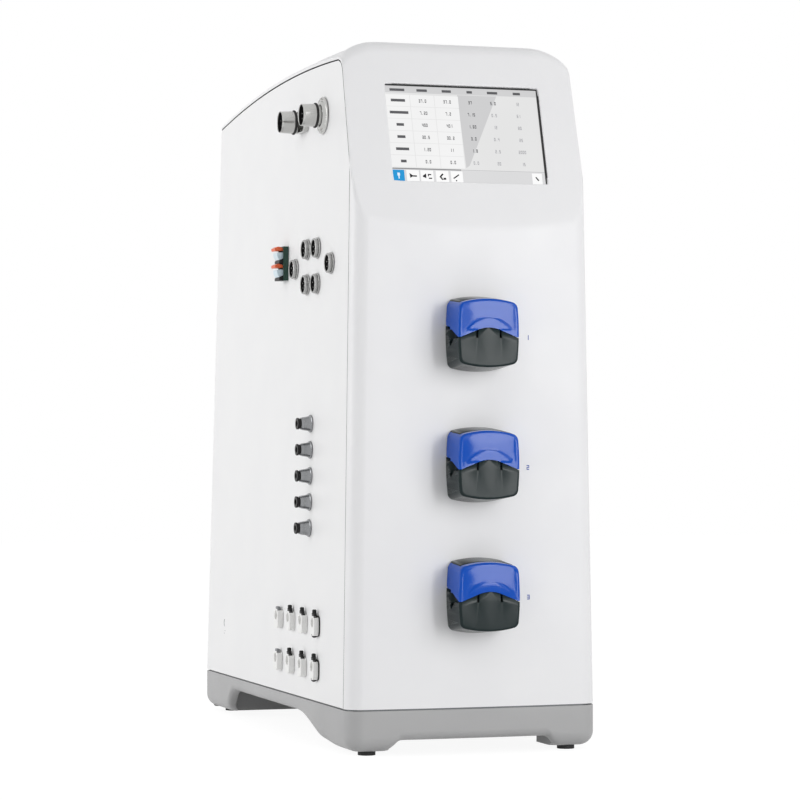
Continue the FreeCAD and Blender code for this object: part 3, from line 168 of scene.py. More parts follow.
def finish_of(name, colour, drift, roughness, metal=0.0, coat=0.0, coat_roughness=0.1,
              grain=0.6, relief=0.02, patch=60.0, uneven=0.05, specular=0.5):
    """A finish: a colour that drifts to another over patch mm, roughness that varies by uneven,
    and a relief whose grains are grain mm wide and relief mm high."""
    material = bpy.data.materials.new(name)
    material.use_nodes = True
    tree = material.node_tree
    tree.nodes.clear()
    place = add_node(tree, "ShaderNodeTexCoord").outputs["Object"]
    cloud = add_node(tree, "ShaderNodeTexNoise", Vector=place, Scale=per_metre(patch), Detail=3.0)
    tone = add_node(tree, "ShaderNodeMix", {"data_type": "RGBA"}, Factor=cloud.outputs["Fac"],
                    _6=linear(colour), _7=linear(drift))
    fine = add_node(tree, "ShaderNodeTexNoise", Vector=place, Scale=per_metre(grain), Detail=2.0)
    sheen = add_node(tree, "ShaderNodeMapRange", Value=cloud.outputs["Fac"], From_Min=0.3, From_Max=0.7,
                     To_Min=roughness - uneven, To_Max=roughness + uneven)
    bump = add_node(tree, "ShaderNodeBump", Height=fine.outputs["Fac"], Strength=1.0, Distance=relief * MM)
    shader = add_node(tree, "ShaderNodeBsdfPrincipled", Base_Color=tone.outputs[2], Metallic=metal,
                      Roughness=sheen.outputs["Result"], Normal=bump.outputs["Normal"],
                      Coat_Weight=coat, Coat_Roughness=coat_roughness)
    shader.inputs["Specular IOR Level"].default_value = specular
    add_node(tree, "ShaderNodeOutputMaterial", Surface=shader.outputs["BSDF"])
    return material


# %% The housing's and base's finishes
# moulded ABS with a fine spark-eroded grain: a soft, wide highlight and no mirror image
cover_plastic = finish_of("white_moulded_abs", "EDEDEE", "E9E9EB", 0.42, grain=0.7, relief=0.012)
# powder coat on sheet steel: slight orange peel, so straight reflections waver a little
panel_paint = finish_of("white_powder_coat", "EFEFEF", "ECECED", 0.46, grain=1.4, relief=0.010)
# grey moulded base: the same grain in a darker, neutral plastic
base_plastic = finish_of("grey_moulded_abs", "AEAEAE", "A8A8A9", 0.48, grain=0.8, relief=0.015)
# zinc-plated floor sheet: seen only as the dark line over the base
steel_sheet = finish_of("zinc_plated_sheet", "6B6E70", "7A7D80", 0.42, metal=0.8, grain=3.0, relief=0.004)
# moulded rubber feet and rings: nearly black, with the least gloss of all
rubber_black = finish_of("black_rubber", "141415", "1B1B1C", 0.72, grain=0.4, relief=0.02)

# %% [markdown]
# ## The housing's own formula
# The cabinet is a column with a bowed front and round corners, whose sides lean in as they rise. A
# plane that leans back 17 degrees cuts its upper front, which leaves the smile-shaped crease under
# the display, and a shouldered lid, swept along a very large arc, closes the top. A box with bevels
# would miss the crease, because that comes from the bow meeting the plane. So the skin is one height
# field: how far back the surface lies at a place x across and z up.

# %% Sizes of the housing in millimetres
WIDTH, DEPTH, HEIGHT = 277.0, 598.0, 754.0
BASE_TOP = 47.5
COVER_FOOT = 49.0
BOW = 2300.0
CORNER = 17.5
REAR_CORNER = 8.0
FACE_TILT = math.radians(17.0)
FACE_FOOT = 550.0
BROW = 18.0
TOP_ARC = 2560.0
TOP_APEX = -127.0
TOP_CENTRE = HEIGHT - TOP_ARC
SIDE_LEAN, FRONT_LEAN, REAR_LEAN = 0.0155, 0.010, 0.045    # inwards, for each millimetre of height
SHOULDER_ARC, SHOULDER_SLOPE, SHOULDER_DROP = 50, 0.5, 16.8
BROW_ACROSS, BROW_DOWN, BROW_SHARE = 37, 24, 0.65
BROW_END, BROW_FADE = -236, 50
SEAM = 1.3
SEAM_BACK, SEAM_FACE, SEAM_DROP = 20.7, 1.67, 20.3        # behind the front, behind the face, under the top


def side_x(z):
    """Half the width: the sides lean in by SIDE_LEAN."""
    return WIDTH / 2 - SIDE_LEAN * (z - BASE_TOP)


def front_y(z):
    """The front's centre line, which leans back by FRONT_LEAN."""
    return -DEPTH / 2 + FRONT_LEAN * (z - BASE_TOP)


def rear_y(z):
    """The flat rear, which leans forwards by REAR_LEAN."""
    return DEPTH / 2 - REAR_LEAN * (z - BASE_TOP)


def face_y(z):
    """The display face, a plane that leans back by FACE_TILT from its foot."""
    return front_y(FACE_FOOT) + math.tan(FACE_TILT) * (z - FACE_FOOT)


def smooth_max(a, b, width):
    """The larger of a and b, with the change-over rounded off over width."""
    return np.maximum(a, b) + np.clip(width - np.abs(a - b), 0, None) ** 2 / (4 * width)


def bowed_front_y(x, z):
    """The plan outline: a bow of radius BOW that runs into a corner of radius CORNER."""
    centre_x = side_x(z) - CORNER
    bow_centre = front_y(z) + BOW
    centre_y = bow_centre - np.sqrt((BOW - CORNER) ** 2 - centre_x ** 2)
    bow = bow_centre - np.sqrt(BOW ** 2 - x ** 2)
    corner = centre_y - np.sqrt(np.clip(CORNER ** 2 - (np.abs(x) - centre_x) ** 2, 0, None))
    return np.where(np.abs(x) < centre_x * BOW / (BOW - CORNER), bow, corner)


def skin_y(x, z):
    """The front's skin: the bow, or the display face where that lies further back."""
    return smooth_max(bowed_front_y(x, z), face_y(z) + 0 * x, 1.6)


def eased(part):
    """A smooth step: 6 t^5 - 15 t^4 + 10 t^3, for t from 0 to 1."""
    part = np.clip(part, 0, 1)
    return part ** 3 * (part * (6 * part - 15) + 10)


def top_radius(x, back=0.0):
    """The top's arc is smaller towards the sides. At the rear (back 1) its shoulder is an arc, then a
    slope. The brow's (back 0) is BROW_SHARE of the way from that to a quarter of an ellipse, which is
    BROW_ACROSS wide and BROW_DOWN high, and which stops just before it would stand upright."""
    angle = math.atan(SHOULDER_SLOPE)
    run, drop = SHOULDER_ARC * math.sin(angle), SHOULDER_ARC * (1 - math.cos(angle))
    flat = side_x(HEIGHT) - (SHOULDER_DROP - drop) / SHOULDER_SLOPE - run
    out = np.abs(x) - flat
    arc = SHOULDER_ARC - np.sqrt(SHOULDER_ARC ** 2 - np.clip(out, 0, run) ** 2)
    sloped = np.where(out < run, arc, drop + SHOULDER_SLOPE * (out - run))
    part = np.clip((np.abs(x) - side_x(HEIGHT) + BROW_ACROSS) / BROW_ACROSS, 0, 0.985)
    round_drop = BROW_DOWN * (1 - np.sqrt(1 - part ** 2))
    return TOP_ARC - sloped - (round_drop - sloped) * BROW_SHARE * (1 - back)


def brow_centre(x):
    """The middle (y, z) of the brow's arc: where the display face and the top, drawn in by BROW, cross."""
    along = np.array([math.sin(FACE_TILT), math.cos(FACE_TILT)])
    foot = np.array([front_y(FACE_FOOT), FACE_FOOT]) + BROW * np.array([along[1], -along[0]])
    away = foot - np.array([TOP_APEX, TOP_CENTRE])
    half = along @ away
    run = -half + np.sqrt(half ** 2 - away @ away + (top_radius(x) - BROW) ** 2)
    return foot[0] + run * along[0], foot[1] + run * along[1]


print("front corner at the base", side_x(BASE_TOP), "mm; brow's middle", brow_centre(np.zeros(1)))

# %% [markdown]
# ## The front cover, one large moulding
# The real cover is a single moulding: front, display face, brow, top and a short return on each side.
# Its grid follows that. Rows climb the front, lean back with the face, roll over the brow and run to
# the rear; columns stay parallel in the middle, where the display's opening needs straight edges, and
# bunch together towards the corners, where the surface turns. A skirt sheet then carries the edge
# round a small radius to the seam, where a thin shadow gap parts the cover from the side panels.

# %% Rows and columns of the cover's skin
OPENING = (173.0, 111.0, 3.0, 653.3, 1.5)    # width, height, place right of the middle, height up, corner
LIP = 1.2
hole_x = OPENING[2] + (OPENING[0] / 2 + LIP) * np.array([-1.0, 1.0])
hole_z = OPENING[3] + (OPENING[1] / 2 + LIP) * math.cos(FACE_TILT) * np.array([-1.0, 1.0])
steady = np.concatenate([[-95.0], np.linspace(*hole_x, 19), [95.0]])
spread = np.linspace(0, 1, 4)[1:]
turn = np.sin(np.radians(np.linspace(12, 90, 10)))
front_rows = np.concatenate([[COVER_FOOT, COVER_FOOT + 0.4, COVER_FOOT + 1.5], np.arange(60, 536, 14),
                             np.arange(540, 580, 2.5), [584.0, 592.0], np.linspace(*hole_z, 13)])
to_brow = np.linspace(0, 1, 5)[1:]
over_brow = np.linspace(0, 1, 12)[1:]
along_top = np.concatenate([np.linspace(0, 1, 26)[1:-1], [0.98, 0.992, 1.0]])


def across(z, rounded):
    """x of each column at heights z: steady in the middle, spread to where the corner starts, and
    then by equal turns round the corner as far as the edge's own small radius, rounded."""
    centre = (side_x(z) - CORNER)[:, None]
    start = centre * BOW / (BOW - CORNER)
    right = np.concatenate([95 + (start - 95) * spread, centre + (CORNER - rounded[:, None]) * turn], axis=1)
    return np.concatenate([-right[:, ::-1], np.tile(steady, (len(z), 1)), right], axis=1)


def top_z(x, y):
    """The top: an arc in the side view whose radius depends on the place across. Its shoulder changes
    from the brow's round to the rear's slope over the BROW_FADE millimetres behind BROW_END."""
    return TOP_CENTRE + np.sqrt(top_radius(x, eased((y - BROW_END) / BROW_FADE)) ** 2 - (y - TOP_APEX) ** 2)


def rear_edge_y(x, rounded):
    """Where the top ends: the leaning rear, with a rounded corner in plan."""
    y = np.full_like(x, 260.0)
    for _ in range(6):
        y = rear_y(top_z(x, y))
    side = side_x(top_z(x, y)) - REAR_CORNER
    reach = REAR_CORNER - rounded
    return y - REAR_CORNER + np.sqrt(np.clip(reach ** 2 - np.clip(np.abs(x) - side, 0, reach) ** 2, 0, None))


# %% The cover's skin as one grid
face_rounding = 0.9 * np.clip((face_y(front_rows) - front_y(front_rows) - 12.0) / 9.0, 0, 1)
upper = len(to_brow) + len(over_brow) + len(along_top)
rounding = np.concatenate([face_rounding, np.linspace(0.9, 1.6, len(to_brow) + len(over_brow)),
                           np.full(len(along_top), 1.6)])
edge_height = np.concatenate([front_rows, np.linspace(710, 738, upper - len(along_top)),
                              np.linspace(738, 705, len(along_top))])
skin_x = across(edge_height, rounding)
rows = np.cumsum([0, len(front_rows), len(to_brow), len(over_brow), len(along_top)])
front_x, brow_x, roll_x, roof_x = (skin_x[a:b] for a, b in zip(rows[:-1], rows[1:]))

front_z = np.broadcast_to(front_rows[:, None], front_x.shape)
brow_z = brow_centre(brow_x)[1]
rise_z = hole_z[1] + (brow_z + BROW * math.sin(FACE_TILT) - hole_z[1]) * to_brow[:, None]
roll_y, roll_z = brow_centre(roll_x)
last = np.arctan2(roll_z - TOP_CENTRE, TOP_APEX - roll_y)
angle = FACE_TILT + (last - FACE_TILT) * over_brow[:, None]
start_y = brow_centre(roof_x)[0]
start_angle = np.arctan2(brow_centre(roof_x)[1] - TOP_CENTRE, TOP_APEX - start_y)
start_y = start_y - BROW * np.cos(start_angle)
roof_y = start_y + (rear_edge_y(roof_x, 1.6) - start_y) * along_top[:, None]
skin = np.stack([skin_x,
                 np.concatenate([skin_y(front_x, front_z), skin_y(brow_x, rise_z),
                                 roll_y - BROW * np.cos(angle), roof_y]),
                 np.concatenate([front_z, rise_z, roll_z + BROW * np.sin(angle), top_z(roof_x, roof_y)])],
                axis=-1)
middle_x = (skin[:-1, :-1, 0] + skin[1:, 1:, 0]) / 2
middle_z = (skin[:-1, :-1, 2] + skin[1:, 1:, 2]) / 2
in_opening = ((middle_x > hole_x[0]) & (middle_x < hole_x[1]) & (middle_z > hole_z[0]) & (middle_z < hole_z[1])
              & (np.arange(len(skin) - 1)[:, None] < rows[1]))
print("cover skin:", skin.shape[:2], "rows and columns;", in_opening.sum(), "quads left open")

# %% [markdown]
# ## The cover's edge
# A moulding never ends in a knife edge. The skirt takes the skin's border, rolls it over a small
# radius, runs it back to the seam, rounds it again and turns it inwards, so the seam reads as a dark
# line with a soft light edge on each side. Its profile is carried along the border, and only the
# direction in which it runs changes: backwards on the front and face, downwards on the top.

# %% Border, run and depth of the skirt
def seam_run(direction, depth, out, border, rounded):
    """Carries the skirt's profile along a border: border + out x sideways + direction x depth."""
    arc = np.radians([0, 30, 60, 90])
    soft = np.minimum(0.35, 0.4 * depth)
    rows_of_run = [border + out * (rounded * math.sin(a)) + direction * (rounded * (1 - math.cos(a)))
                   for a in arc]
    face = border + out * rounded
    rows_of_run += [face + direction * (depth - soft + soft * math.sin(a)) - out * (soft * (1 - math.cos(a)))
                    for a in arc]
    rows_of_run.append(rows_of_run[-1] - out * 2.0)
    return np.stack(rows_of_run)


border = skin[:, -1]
seam_y = smooth_max(front_y(border[:, 2]) + SEAM_BACK, face_y(border[:, 2]) + SEAM_FACE, 5.0)
swing = np.concatenate([np.zeros(rows[2]), over_brow, np.ones(len(along_top))]) * math.pi / 2
seam_z = TOP_CENTRE + np.sqrt((TOP_ARC - SEAM_DROP) ** 2 - (border[:, 1] - TOP_APEX) ** 2)
depth = np.where(np.arange(len(border)) < rows[2], seam_y - border[:, 1],
                 np.where(swing < math.pi / 2, SEAM_FACE + 1.6 * swing, border[:, 2] - seam_z))[:, None]
direction = np.stack([0 * swing, np.cos(swing), -np.sin(swing)], axis=-1)
sideways = np.tile([1.0, 0.0, 0.0], (len(border), 1))
right_skirt = seam_run(direction, depth, sideways, border, rounding[:, None])
left_skirt = right_skirt * [-1, 1, 1]

rear_border = skin[-1]
rear_side = side_x(rear_border[:, 2]) - REAR_CORNER
outward = np.stack([np.sign(rear_border[:, 0]) * np.clip(np.abs(rear_border[:, 0]) - rear_side, 0, None),
                    np.where(np.abs(rear_border[:, 0]) > rear_side,
                             rear_border[:, 1] - rear_border[:, 1].max() + REAR_CORNER - 1.6, REAR_CORNER),
                    0 * rear_side], axis=-1)
outward /= np.linalg.norm(outward, axis=1, keepdims=True)
rear_seam = TOP_CENTRE + np.sqrt((TOP_ARC - SEAM_DROP) ** 2 - (rear_border[:, 1] - TOP_APEX) ** 2)
down = np.array([0.0, REAR_LEAN, -1.0])
rear_skirt = seam_run(down, (rear_border[:, 2] - rear_seam)[:, None], outward, rear_border, 1.6)
print("seam depth on the face", round(float(depth[rows[1]][0]), 2), "mm, on the front",
      round(float(depth[10][0]), 2), "mm")


# %% The opening's rounded lip
def in_face(across_mm, up_mm, back_mm):
    """A point of the display face: across and up from the opening's middle, and back along its normal."""
    centre_y, centre_z = face_y(OPENING[3]), OPENING[3]
    lean, rise = math.sin(FACE_TILT), math.cos(FACE_TILT)
    across_mm, up_mm, back_mm = np.broadcast_arrays(across_mm, up_mm, back_mm)
    return np.stack([OPENING[2] + across_mm, centre_y + up_mm * lean + back_mm * rise,
                     centre_z + up_mm * rise - back_mm * lean], axis=-1)


def nearest_on_rounded(u, v, half_width, half_height, corner):
    """Moves points on to a rounded rectangle: towards the box that is smaller by the corner radius."""
    core_u = np.clip(u, corner - half_width, half_width - corner)
    core_v = np.clip(v, corner - half_height, half_height - corner)
    away = np.hypot(u - core_u, v - core_v)
    return core_u + (u - core_u) / away * corner, core_v + (v - core_v) / away * corner


def rectangle_loop(half_width, half_height, u_marks, v_marks):
    """Points round a rectangle, through given marks on its sides, anticlockwise from lower left."""
    u = np.concatenate([u_marks, 0 * v_marks + half_width, u_marks[::-1], 0 * v_marks - half_width])
    v = np.concatenate([0 * u_marks - half_height, v_marks, 0 * u_marks + half_height, v_marks[::-1]])
    return u, v


u_marks = np.linspace(*hole_x, 19) - OPENING[2]
v_marks = (np.linspace(*hole_z, 13) - OPENING[3]) / math.cos(FACE_TILT)
loop_u, loop_v = rectangle_loop(OPENING[0] / 2 + LIP, OPENING[1] / 2 + LIP, u_marks, v_marks)
lip_rows = [in_face(loop_u, loop_v, 0.0)]
for grow, back in ((0.9, 0.0), (0.45, 0.12), (0.12, 0.45), (0.0, 0.9), (0.0, 3.0)):
    lip_u, lip_v = nearest_on_rounded(loop_u, loop_v, OPENING[0] / 2 + grow, OPENING[1] / 2 + grow,
                                      OPENING[4] + grow)
    lip_rows.append(in_face(lip_u, lip_v, back))
cover_sheets = [lattice(skin, skip=in_opening), lattice(right_skirt), lattice(left_skirt),
                lattice(rear_skirt), lattice(np.stack(lip_rows), wrap=True)]
piece("cover_moulding", cover_sheets, "station", cover_plastic, ["front_cover"])

# %% [markdown]
# ## Side panels
# Each side is one sheet of painted steel, folded round the rear corner. Its front and top edges run
# along the cover's seam, one gap further in, so both are worked out from the same border. The grid is
# sheared: a column leans with the housing and ends where it meets the falling top. Bending the border
# in by a radius of half a millimetre stands for the rounded arris that powder coat leaves on sheet.

# %% Panel grid
seam_line = border + direction * (depth + SEAM)
over = seam_line[:, 2] > 614.5                # the part of the seam that rises to the top
ROLL = 0.5                                    # radius of the sheet's painted edges
PANEL_STOP, FLANGE_START = 116.5, 121.0       # the fold's flange, from its end to its start
RETURN = 2.0                                  # how far an edge is carried inwards, behind the seam
stations = np.concatenate([np.linspace(-266, -242, 6), np.linspace(-240, -206, 18),
                           np.linspace(-200, 255, 24)])
FIRST_COLUMN, LAST_COLUMN = -271.4, 259.3
column_part = (stations - FIRST_COLUMN) / (LAST_COLUMN - FIRST_COLUMN)
column_part = np.concatenate([[0, 0, 0], column_part, [1]])
column_shift = np.concatenate([[0.0, 0.3 * ROLL, ROLL], np.zeros(len(stations) + 1)])
row_part = np.concatenate([[0, 0, 0], np.linspace(0, 1, 26)[1:-1], [1, 1, 1]])
row_shift = np.concatenate([[0.0, 0.3 * ROLL, ROLL], np.zeros(24), [-ROLL, -0.3 * ROLL, 0.0]])


def panel_top(part, shift):
    """Height at which each column meets the seam, found by going back and forth between y and z."""
    z = np.full(len(part), 700.0)
    for _ in range(25):
        front = front_y(z) + SEAM_BACK + SEAM
        y = front + (rear_y(z) - REAR_CORNER - front) * part + shift
        z = np.interp(y, seam_line[over, 1], seam_line[over, 2])
    return y, z


def rolled(distance):
    """How far a rounded edge has dropped at a distance in from it."""
    return ROLL - np.sqrt(ROLL ** 2 - np.clip(ROLL - distance, 0, ROLL) ** 2)


# %% Fold, rolled edges and both panels
top_y, top_height = panel_top(column_part, column_shift)
steep = np.sqrt(1 + np.gradient(top_height, top_y) ** 2)
fold = np.radians(np.linspace(0, 90, 8)[1:])
flange = np.array([FLANGE_START, PANEL_STOP + ROLL, PANEL_STOP + 0.3 * ROLL, PANEL_STOP])
fold_height = np.full(len(fold) + len(flange), top_height[-1])
height = np.concatenate([top_height, fold_height])
stretch = np.concatenate([np.clip(steep, 1, 4), np.ones(len(fold_height))])
z = COVER_FOOT + (height - COVER_FOOT) * row_part[:, None]
z = z + row_shift[:, None] * np.where(row_part[:, None] == 1, stretch, 1.0)
flat_z = z[:, :len(column_part)]
front = front_y(flat_z) + SEAM_BACK + SEAM
flat_y = front + (rear_y(flat_z) - REAR_CORNER - front) * column_part + column_shift
fold_z = z[:, len(column_part):len(column_part) + len(fold)]
flange_z = z[:, -len(flange):]
panel = np.stack([np.concatenate([side_x(flat_z), side_x(fold_z) - REAR_CORNER * (1 - np.cos(fold)),
                                  np.broadcast_to(flange, flange_z.shape)], axis=1),
                  np.concatenate([flat_y, rear_y(fold_z) - REAR_CORNER * (1 - np.sin(fold)),
                                  rear_y(flange_z)], axis=1),
                  z], axis=-1)
facing = np.zeros((panel.shape[1], 3))
facing[:, 0] = np.concatenate([np.ones(len(column_part)), np.cos(fold), 0 * flange])
facing[:, 1] = np.concatenate([0 * column_part, np.sin(fold), 0 * flange + 1])
from_edge = np.full(panel.shape[1], 9.0)
from_edge[:3] = column_shift[:3]
from_edge[-3:] = (ROLL, 0.3 * ROLL, 0.0)
edge_row = np.where(row_part == 0, row_shift, np.where(row_part == 1, -row_shift, 9.0))
panel -= facing * rolled(np.minimum(from_edge, edge_row[:, None]))[..., None]
panel = np.concatenate([panel[:1] - facing * RETURN, panel, panel[-1:] - facing * RETURN])
panel = np.concatenate([panel[:, :1] - facing[0] * RETURN, panel, panel[:, -1:] - facing[-1] * RETURN], axis=1)
for name, node, side in (("left_side_sheet", "left_panel", -1), ("right_side_sheet", "right_panel", 1)):
    piece(name, [lattice(panel * [side, 1, 1])], "station", panel_paint, [node])

# %% [markdown]
# ## Painted shade in the seam
# A black strip laid in the seam paints the shade of the gap. Without it the seam looks pale from the front,
# because light reaches the panel's edge. The strip is the part of the seam's own path that lies between
# the two edges, a tenth of a millimetre in.

# %% Painted shade strip in both side seams
# black with no gloss at all: painted shade in the seam
seam_shade_paint = finish_of("painted_seam_shade", "0C0C0D", "121213", 0.85, grain=0.5, relief=0.03, specular=0.1)
STRIP_INSET, STRIP_DEPTH = 0.1, 1.2
cover_edge = border + direction * depth + sideways * (rounding[:, None] - STRIP_INSET)
panel_edge = cover_edge + direction * SEAM
strip = np.stack([cover_edge - sideways * STRIP_DEPTH, cover_edge,
                  panel_edge, panel_edge - sideways * STRIP_DEPTH])
piece("seam_shade_strip", [lattice(strip), lattice(strip * [-1, 1, 1])], "station", seam_shade_paint)

# %% [markdown]
# ## Base moulding
# The base is a grey moulding on four legs. An arch runs under each side and under the front, and every
# lower edge is rolled under by a large radius, so it darkens softly towards the floor. One closed sheet
# makes it: the plan outline, carried down to a rim whose height follows the arches, round the roll,
# inwards along the soles, up the inner walls and over the deck.

# %% Plan outline of the base and the height of its rim
SKIRT_TOP, SOLE, DECK = 47.5, 4.5, 44.5
TOP_EDGE = 0.6                                # radius of the skirt's upper edge
FRONT_RISE, FRONT_HALF, FRONT_SLOPE = 11.5, 98, 20         # the front arch: rise, half width, slope's run
SIDE_RISE = 27.5
SIDE_START, SIDE_RUN = -243, 167              # the side arch climbs slowly behind the front leg
SIDE_END, SIDE_FALL = 215, 50                 # and falls more steeply at the rear
ROLL_LOW, ROLL_LESS = 15, 6                   # roll radius at the soles, and how much less it is in an arch
ROLL_CHANGE = 8
LEG_SIDE, LEG_FRONT = 92, -240                # the front leg's inner wall turns between these
BLOCK_FRONT = 218                             # front wall of the closed rear block
half_width, rear = side_x(SKIRT_TOP), rear_y(SKIRT_TOP)
corner_x = half_width - CORNER
corner_y = front_y(SKIRT_TOP) + BOW - math.sqrt((BOW - CORNER) ** 2 - corner_x ** 2)
bow_x = np.concatenate([np.linspace(0, 76, 16), np.linspace(79, corner_x * BOW / (BOW - CORNER), 16)])
corner_angle = np.linspace(math.asin(corner_x / (BOW - CORNER)), math.pi / 2, 9)[1:]
side_y = np.concatenate([np.linspace(corner_y, -60, 44)[1:], np.linspace(-45, 140, 12),
                         np.linspace(146, 250, 22)])
rear_angle = np.linspace(0, math.pi / 2, 6)
back_x = np.linspace(half_width - REAR_CORNER, 0, 12)[1:]
plan = np.concatenate([
    np.stack([bow_x, front_y(SKIRT_TOP) + BOW - np.sqrt(BOW ** 2 - bow_x ** 2)], axis=1),
    np.stack([corner_x + CORNER * np.sin(corner_angle), corner_y - CORNER * np.cos(corner_angle)], axis=1),
    np.stack([0 * side_y + half_width, side_y], axis=1),
    np.stack([half_width - REAR_CORNER * (1 - np.cos(rear_angle)),
              rear - REAR_CORNER * (1 - np.sin(rear_angle))], axis=1),
    np.stack([back_x, 0 * back_x + rear], axis=1)])
normal = np.concatenate([np.stack([bow_x, -np.sqrt(BOW ** 2 - bow_x ** 2)], axis=1) / BOW,
                         np.stack([np.sin(corner_angle), -np.cos(corner_angle)], axis=1),
                         np.stack([0 * side_y + 1, 0 * side_y], axis=1),
                         np.stack([np.cos(rear_angle), np.sin(rear_angle)], axis=1),
                         np.stack([0 * back_x, 0 * back_x + 1], axis=1)])
under_front = FRONT_RISE * eased((FRONT_HALF - plan[:, 0]) / FRONT_SLOPE) * (plan[:, 1] < 0)
under_side = (SIDE_RISE * eased((plan[:, 1] - SIDE_START) / SIDE_RUN)
              * eased((SIDE_END - plan[:, 1]) / SIDE_FALL))
rim = SOLE + under_front + under_side
roll = ROLL_LOW - ROLL_LESS * eased((rim - SOLE) / ROLL_CHANGE)
print("rim of the base from", rim.min(), "to", rim.max(), "mm over the floor")

# %% Inner path, rows and the finished base
inner = plan - normal * (roll[:, None] + 1)
leg = np.flatnonzero((plan[:, 0] > LEG_SIDE) & (plan[:, 1] < LEG_FRONT))
leg_in, leg_out = inner[leg[0] - 1], inner[leg[-1] + 1]
walk = np.array([0, leg_out[1] - leg_in[1], leg_out[1] - leg_in[1] + leg_out[0] - leg_in[0]])
way = np.linspace(0, walk[-1], len(leg) + 2)[1:-1]
inner[leg, 0] = np.interp(way, walk, [leg_in[0], leg_in[0], leg_out[0]])
inner[leg, 1] = np.interp(way, walk, [leg_in[1], leg_out[1], leg_out[1]])
behind = np.flatnonzero(plan[:, 1] > BLOCK_FRONT)
inner[behind, 0] = np.linspace(inner[behind[0] - 1, 0], 0, len(behind))
inner[behind, 1] = inner[behind[0] - 1, 1]


def level_row(points, height):
    """A ring of plan points at a height, or at a height of its own for each point."""
    return np.column_stack([points, np.broadcast_to(height, len(points))])


base_rows = [level_row(plan * share, SKIRT_TOP) for share in (0.0, 0.5, 0.95)]
base_rows += [level_row(plan - normal * TOP_EDGE * (1 - math.sin(a)), SKIRT_TOP - TOP_EDGE * (1 - math.cos(a)))
              for a in np.radians([0, 45, 90])]
base_rows += [level_row(plan, SKIRT_TOP - TOP_EDGE - (SKIRT_TOP - TOP_EDGE - rim - roll) * share)
              for share in (0.25, 0.5, 0.75, 1.0)]
base_rows += [level_row(plan - normal * (roll * (1 - math.cos(a)))[:, None], rim + roll * (1 - math.sin(a)))
              for a in np.radians(np.linspace(0, 90, 11)[1:])]
base_rows += [level_row(inner, rim + (DECK - rim) * share) for share in (0.0, 0.5, 1.0)]
base_rows += [level_row(inner * share, DECK) for share in (0.5, 0.0)]
right_half = np.stack(base_rows)
base_skin = np.concatenate([right_half, right_half[:, -2:0:-1] * [-1, 1, 1]], axis=1)
piece("base_moulding", [lattice(base_skin, wrap=True)], "station", base_plastic, ["base_skirt"],
      crease=50)

# %% [markdown]
# ## Plain CAD nodes
# The flat rear sheet and the floor sheet already have the right shape, so they keep the CAD's mesh and
# only get a material. Where a node has round edges, its triangles come loose and flat-shaded. A copy
# with its points merged can be shaded smooth, and it then stands for the node, which stays as it is.

# %% Finish for plain nodes, and the smooth copy
def paint_node(name, material):
    """Gives a flat-faced CAD node its material and leaves its mesh alone."""
    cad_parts[name].data.materials.clear()
    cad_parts[name].data.materials.append(material)


def smooth_copy(name, node, body, material, crease=32):
    """A merged copy of a CAD node's loose triangles, shaded smooth, which stands for that node."""
    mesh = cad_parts[node].data.copy()
    merge_sheets(mesh, outwards=False)
    made = bpy.data.objects.new(name, mesh)
    bpy.context.scene.collection.objects.link(made)
    return finish_piece(made, body, material, [node], crease)


paint_node("rear_panel", panel_paint)
paint_node("floor_plate", steel_sheet)
print("rear and floor finished")

# %% [markdown]
# ## Pump lids
# Each pump has a glossy blue flip lid: a nearly flat front with a crescent finger grip over an arch, a
# roof strip, and two cheeks that reach back to the hinge. It is an injection moulding of even wall,
# so it is made as one thin sheet, front, rim, roof and cheeks in turn, and a Solidify modifier gives
# the wall. The front bulges by a fraction of a millimetre. That crown is what lets the studio lamp
# draw one long, slightly curved reflection on it, which tells the eye that the plastic is polished.

# %% Lid finish and sizes
# polished blue moulding: clear, sharp reflections over a deep even colour
lid_blue = finish_of("blue_gloss_abs", "044CB4", "0650BC", 0.05, grain=2.5, relief=0.0005, uneven=0.01,
                     specular=0.16)
PUMP_LEVELS = (439.5, 302.5, 166.0)
PUMP_X = 1.5
LID_FRONT, LID_RIM, LID_WALL = 42.0, 2.5, 2.4
LID_HALF = 31.0
CORNER_X, CORNER_Z, CORNER_R = 26.5, 25.29, 4.5            # the front's round upper corners
ARCH_RADIUS, ARCH_HALF, ARCH_TOP = 32, 11.885, 5.6
GRIP_HALF, GRIP_FOOT, GRIP_RADIUS = 24, 3.5, 29.29
GRIP_RISE, CROWN_RISE = 0.45, 0.36
corner_turn = np.radians(np.concatenate([[13.0, 22.0, 30.0, 36.9], np.linspace(45, 90, 6)]))
half_top = np.array([0, 3, 6, 9, 11.4, 14, 17, 20, 22.5, 24, 25.5, 27.0])


def arch_z(x):
    """The lid's lower edge: an arc of 32 mm in the middle, then straight down at 0.4."""
    x = np.abs(x)
    arc = ARCH_TOP - (ARCH_RADIUS - np.sqrt(ARCH_RADIUS ** 2 - np.minimum(x, ARCH_HALF) ** 2))
    return arc - 0.4 * np.clip(x - ARCH_HALF, 0, None)


def lid_point(x, z, d, level):
    """Pump coordinates to the housing's: sides bow in, and the top flares up towards the wall."""
    x, z, d = np.broadcast_arrays(x, z, d)
    flared = z + np.clip(z, 0, None) / 35.5 * 4.0 * (1 - d / LID_FRONT)
    return np.stack([PUMP_X + x * (1 - z ** 2 / 17949.0), front_y(level) - d, level + flared], axis=-1)


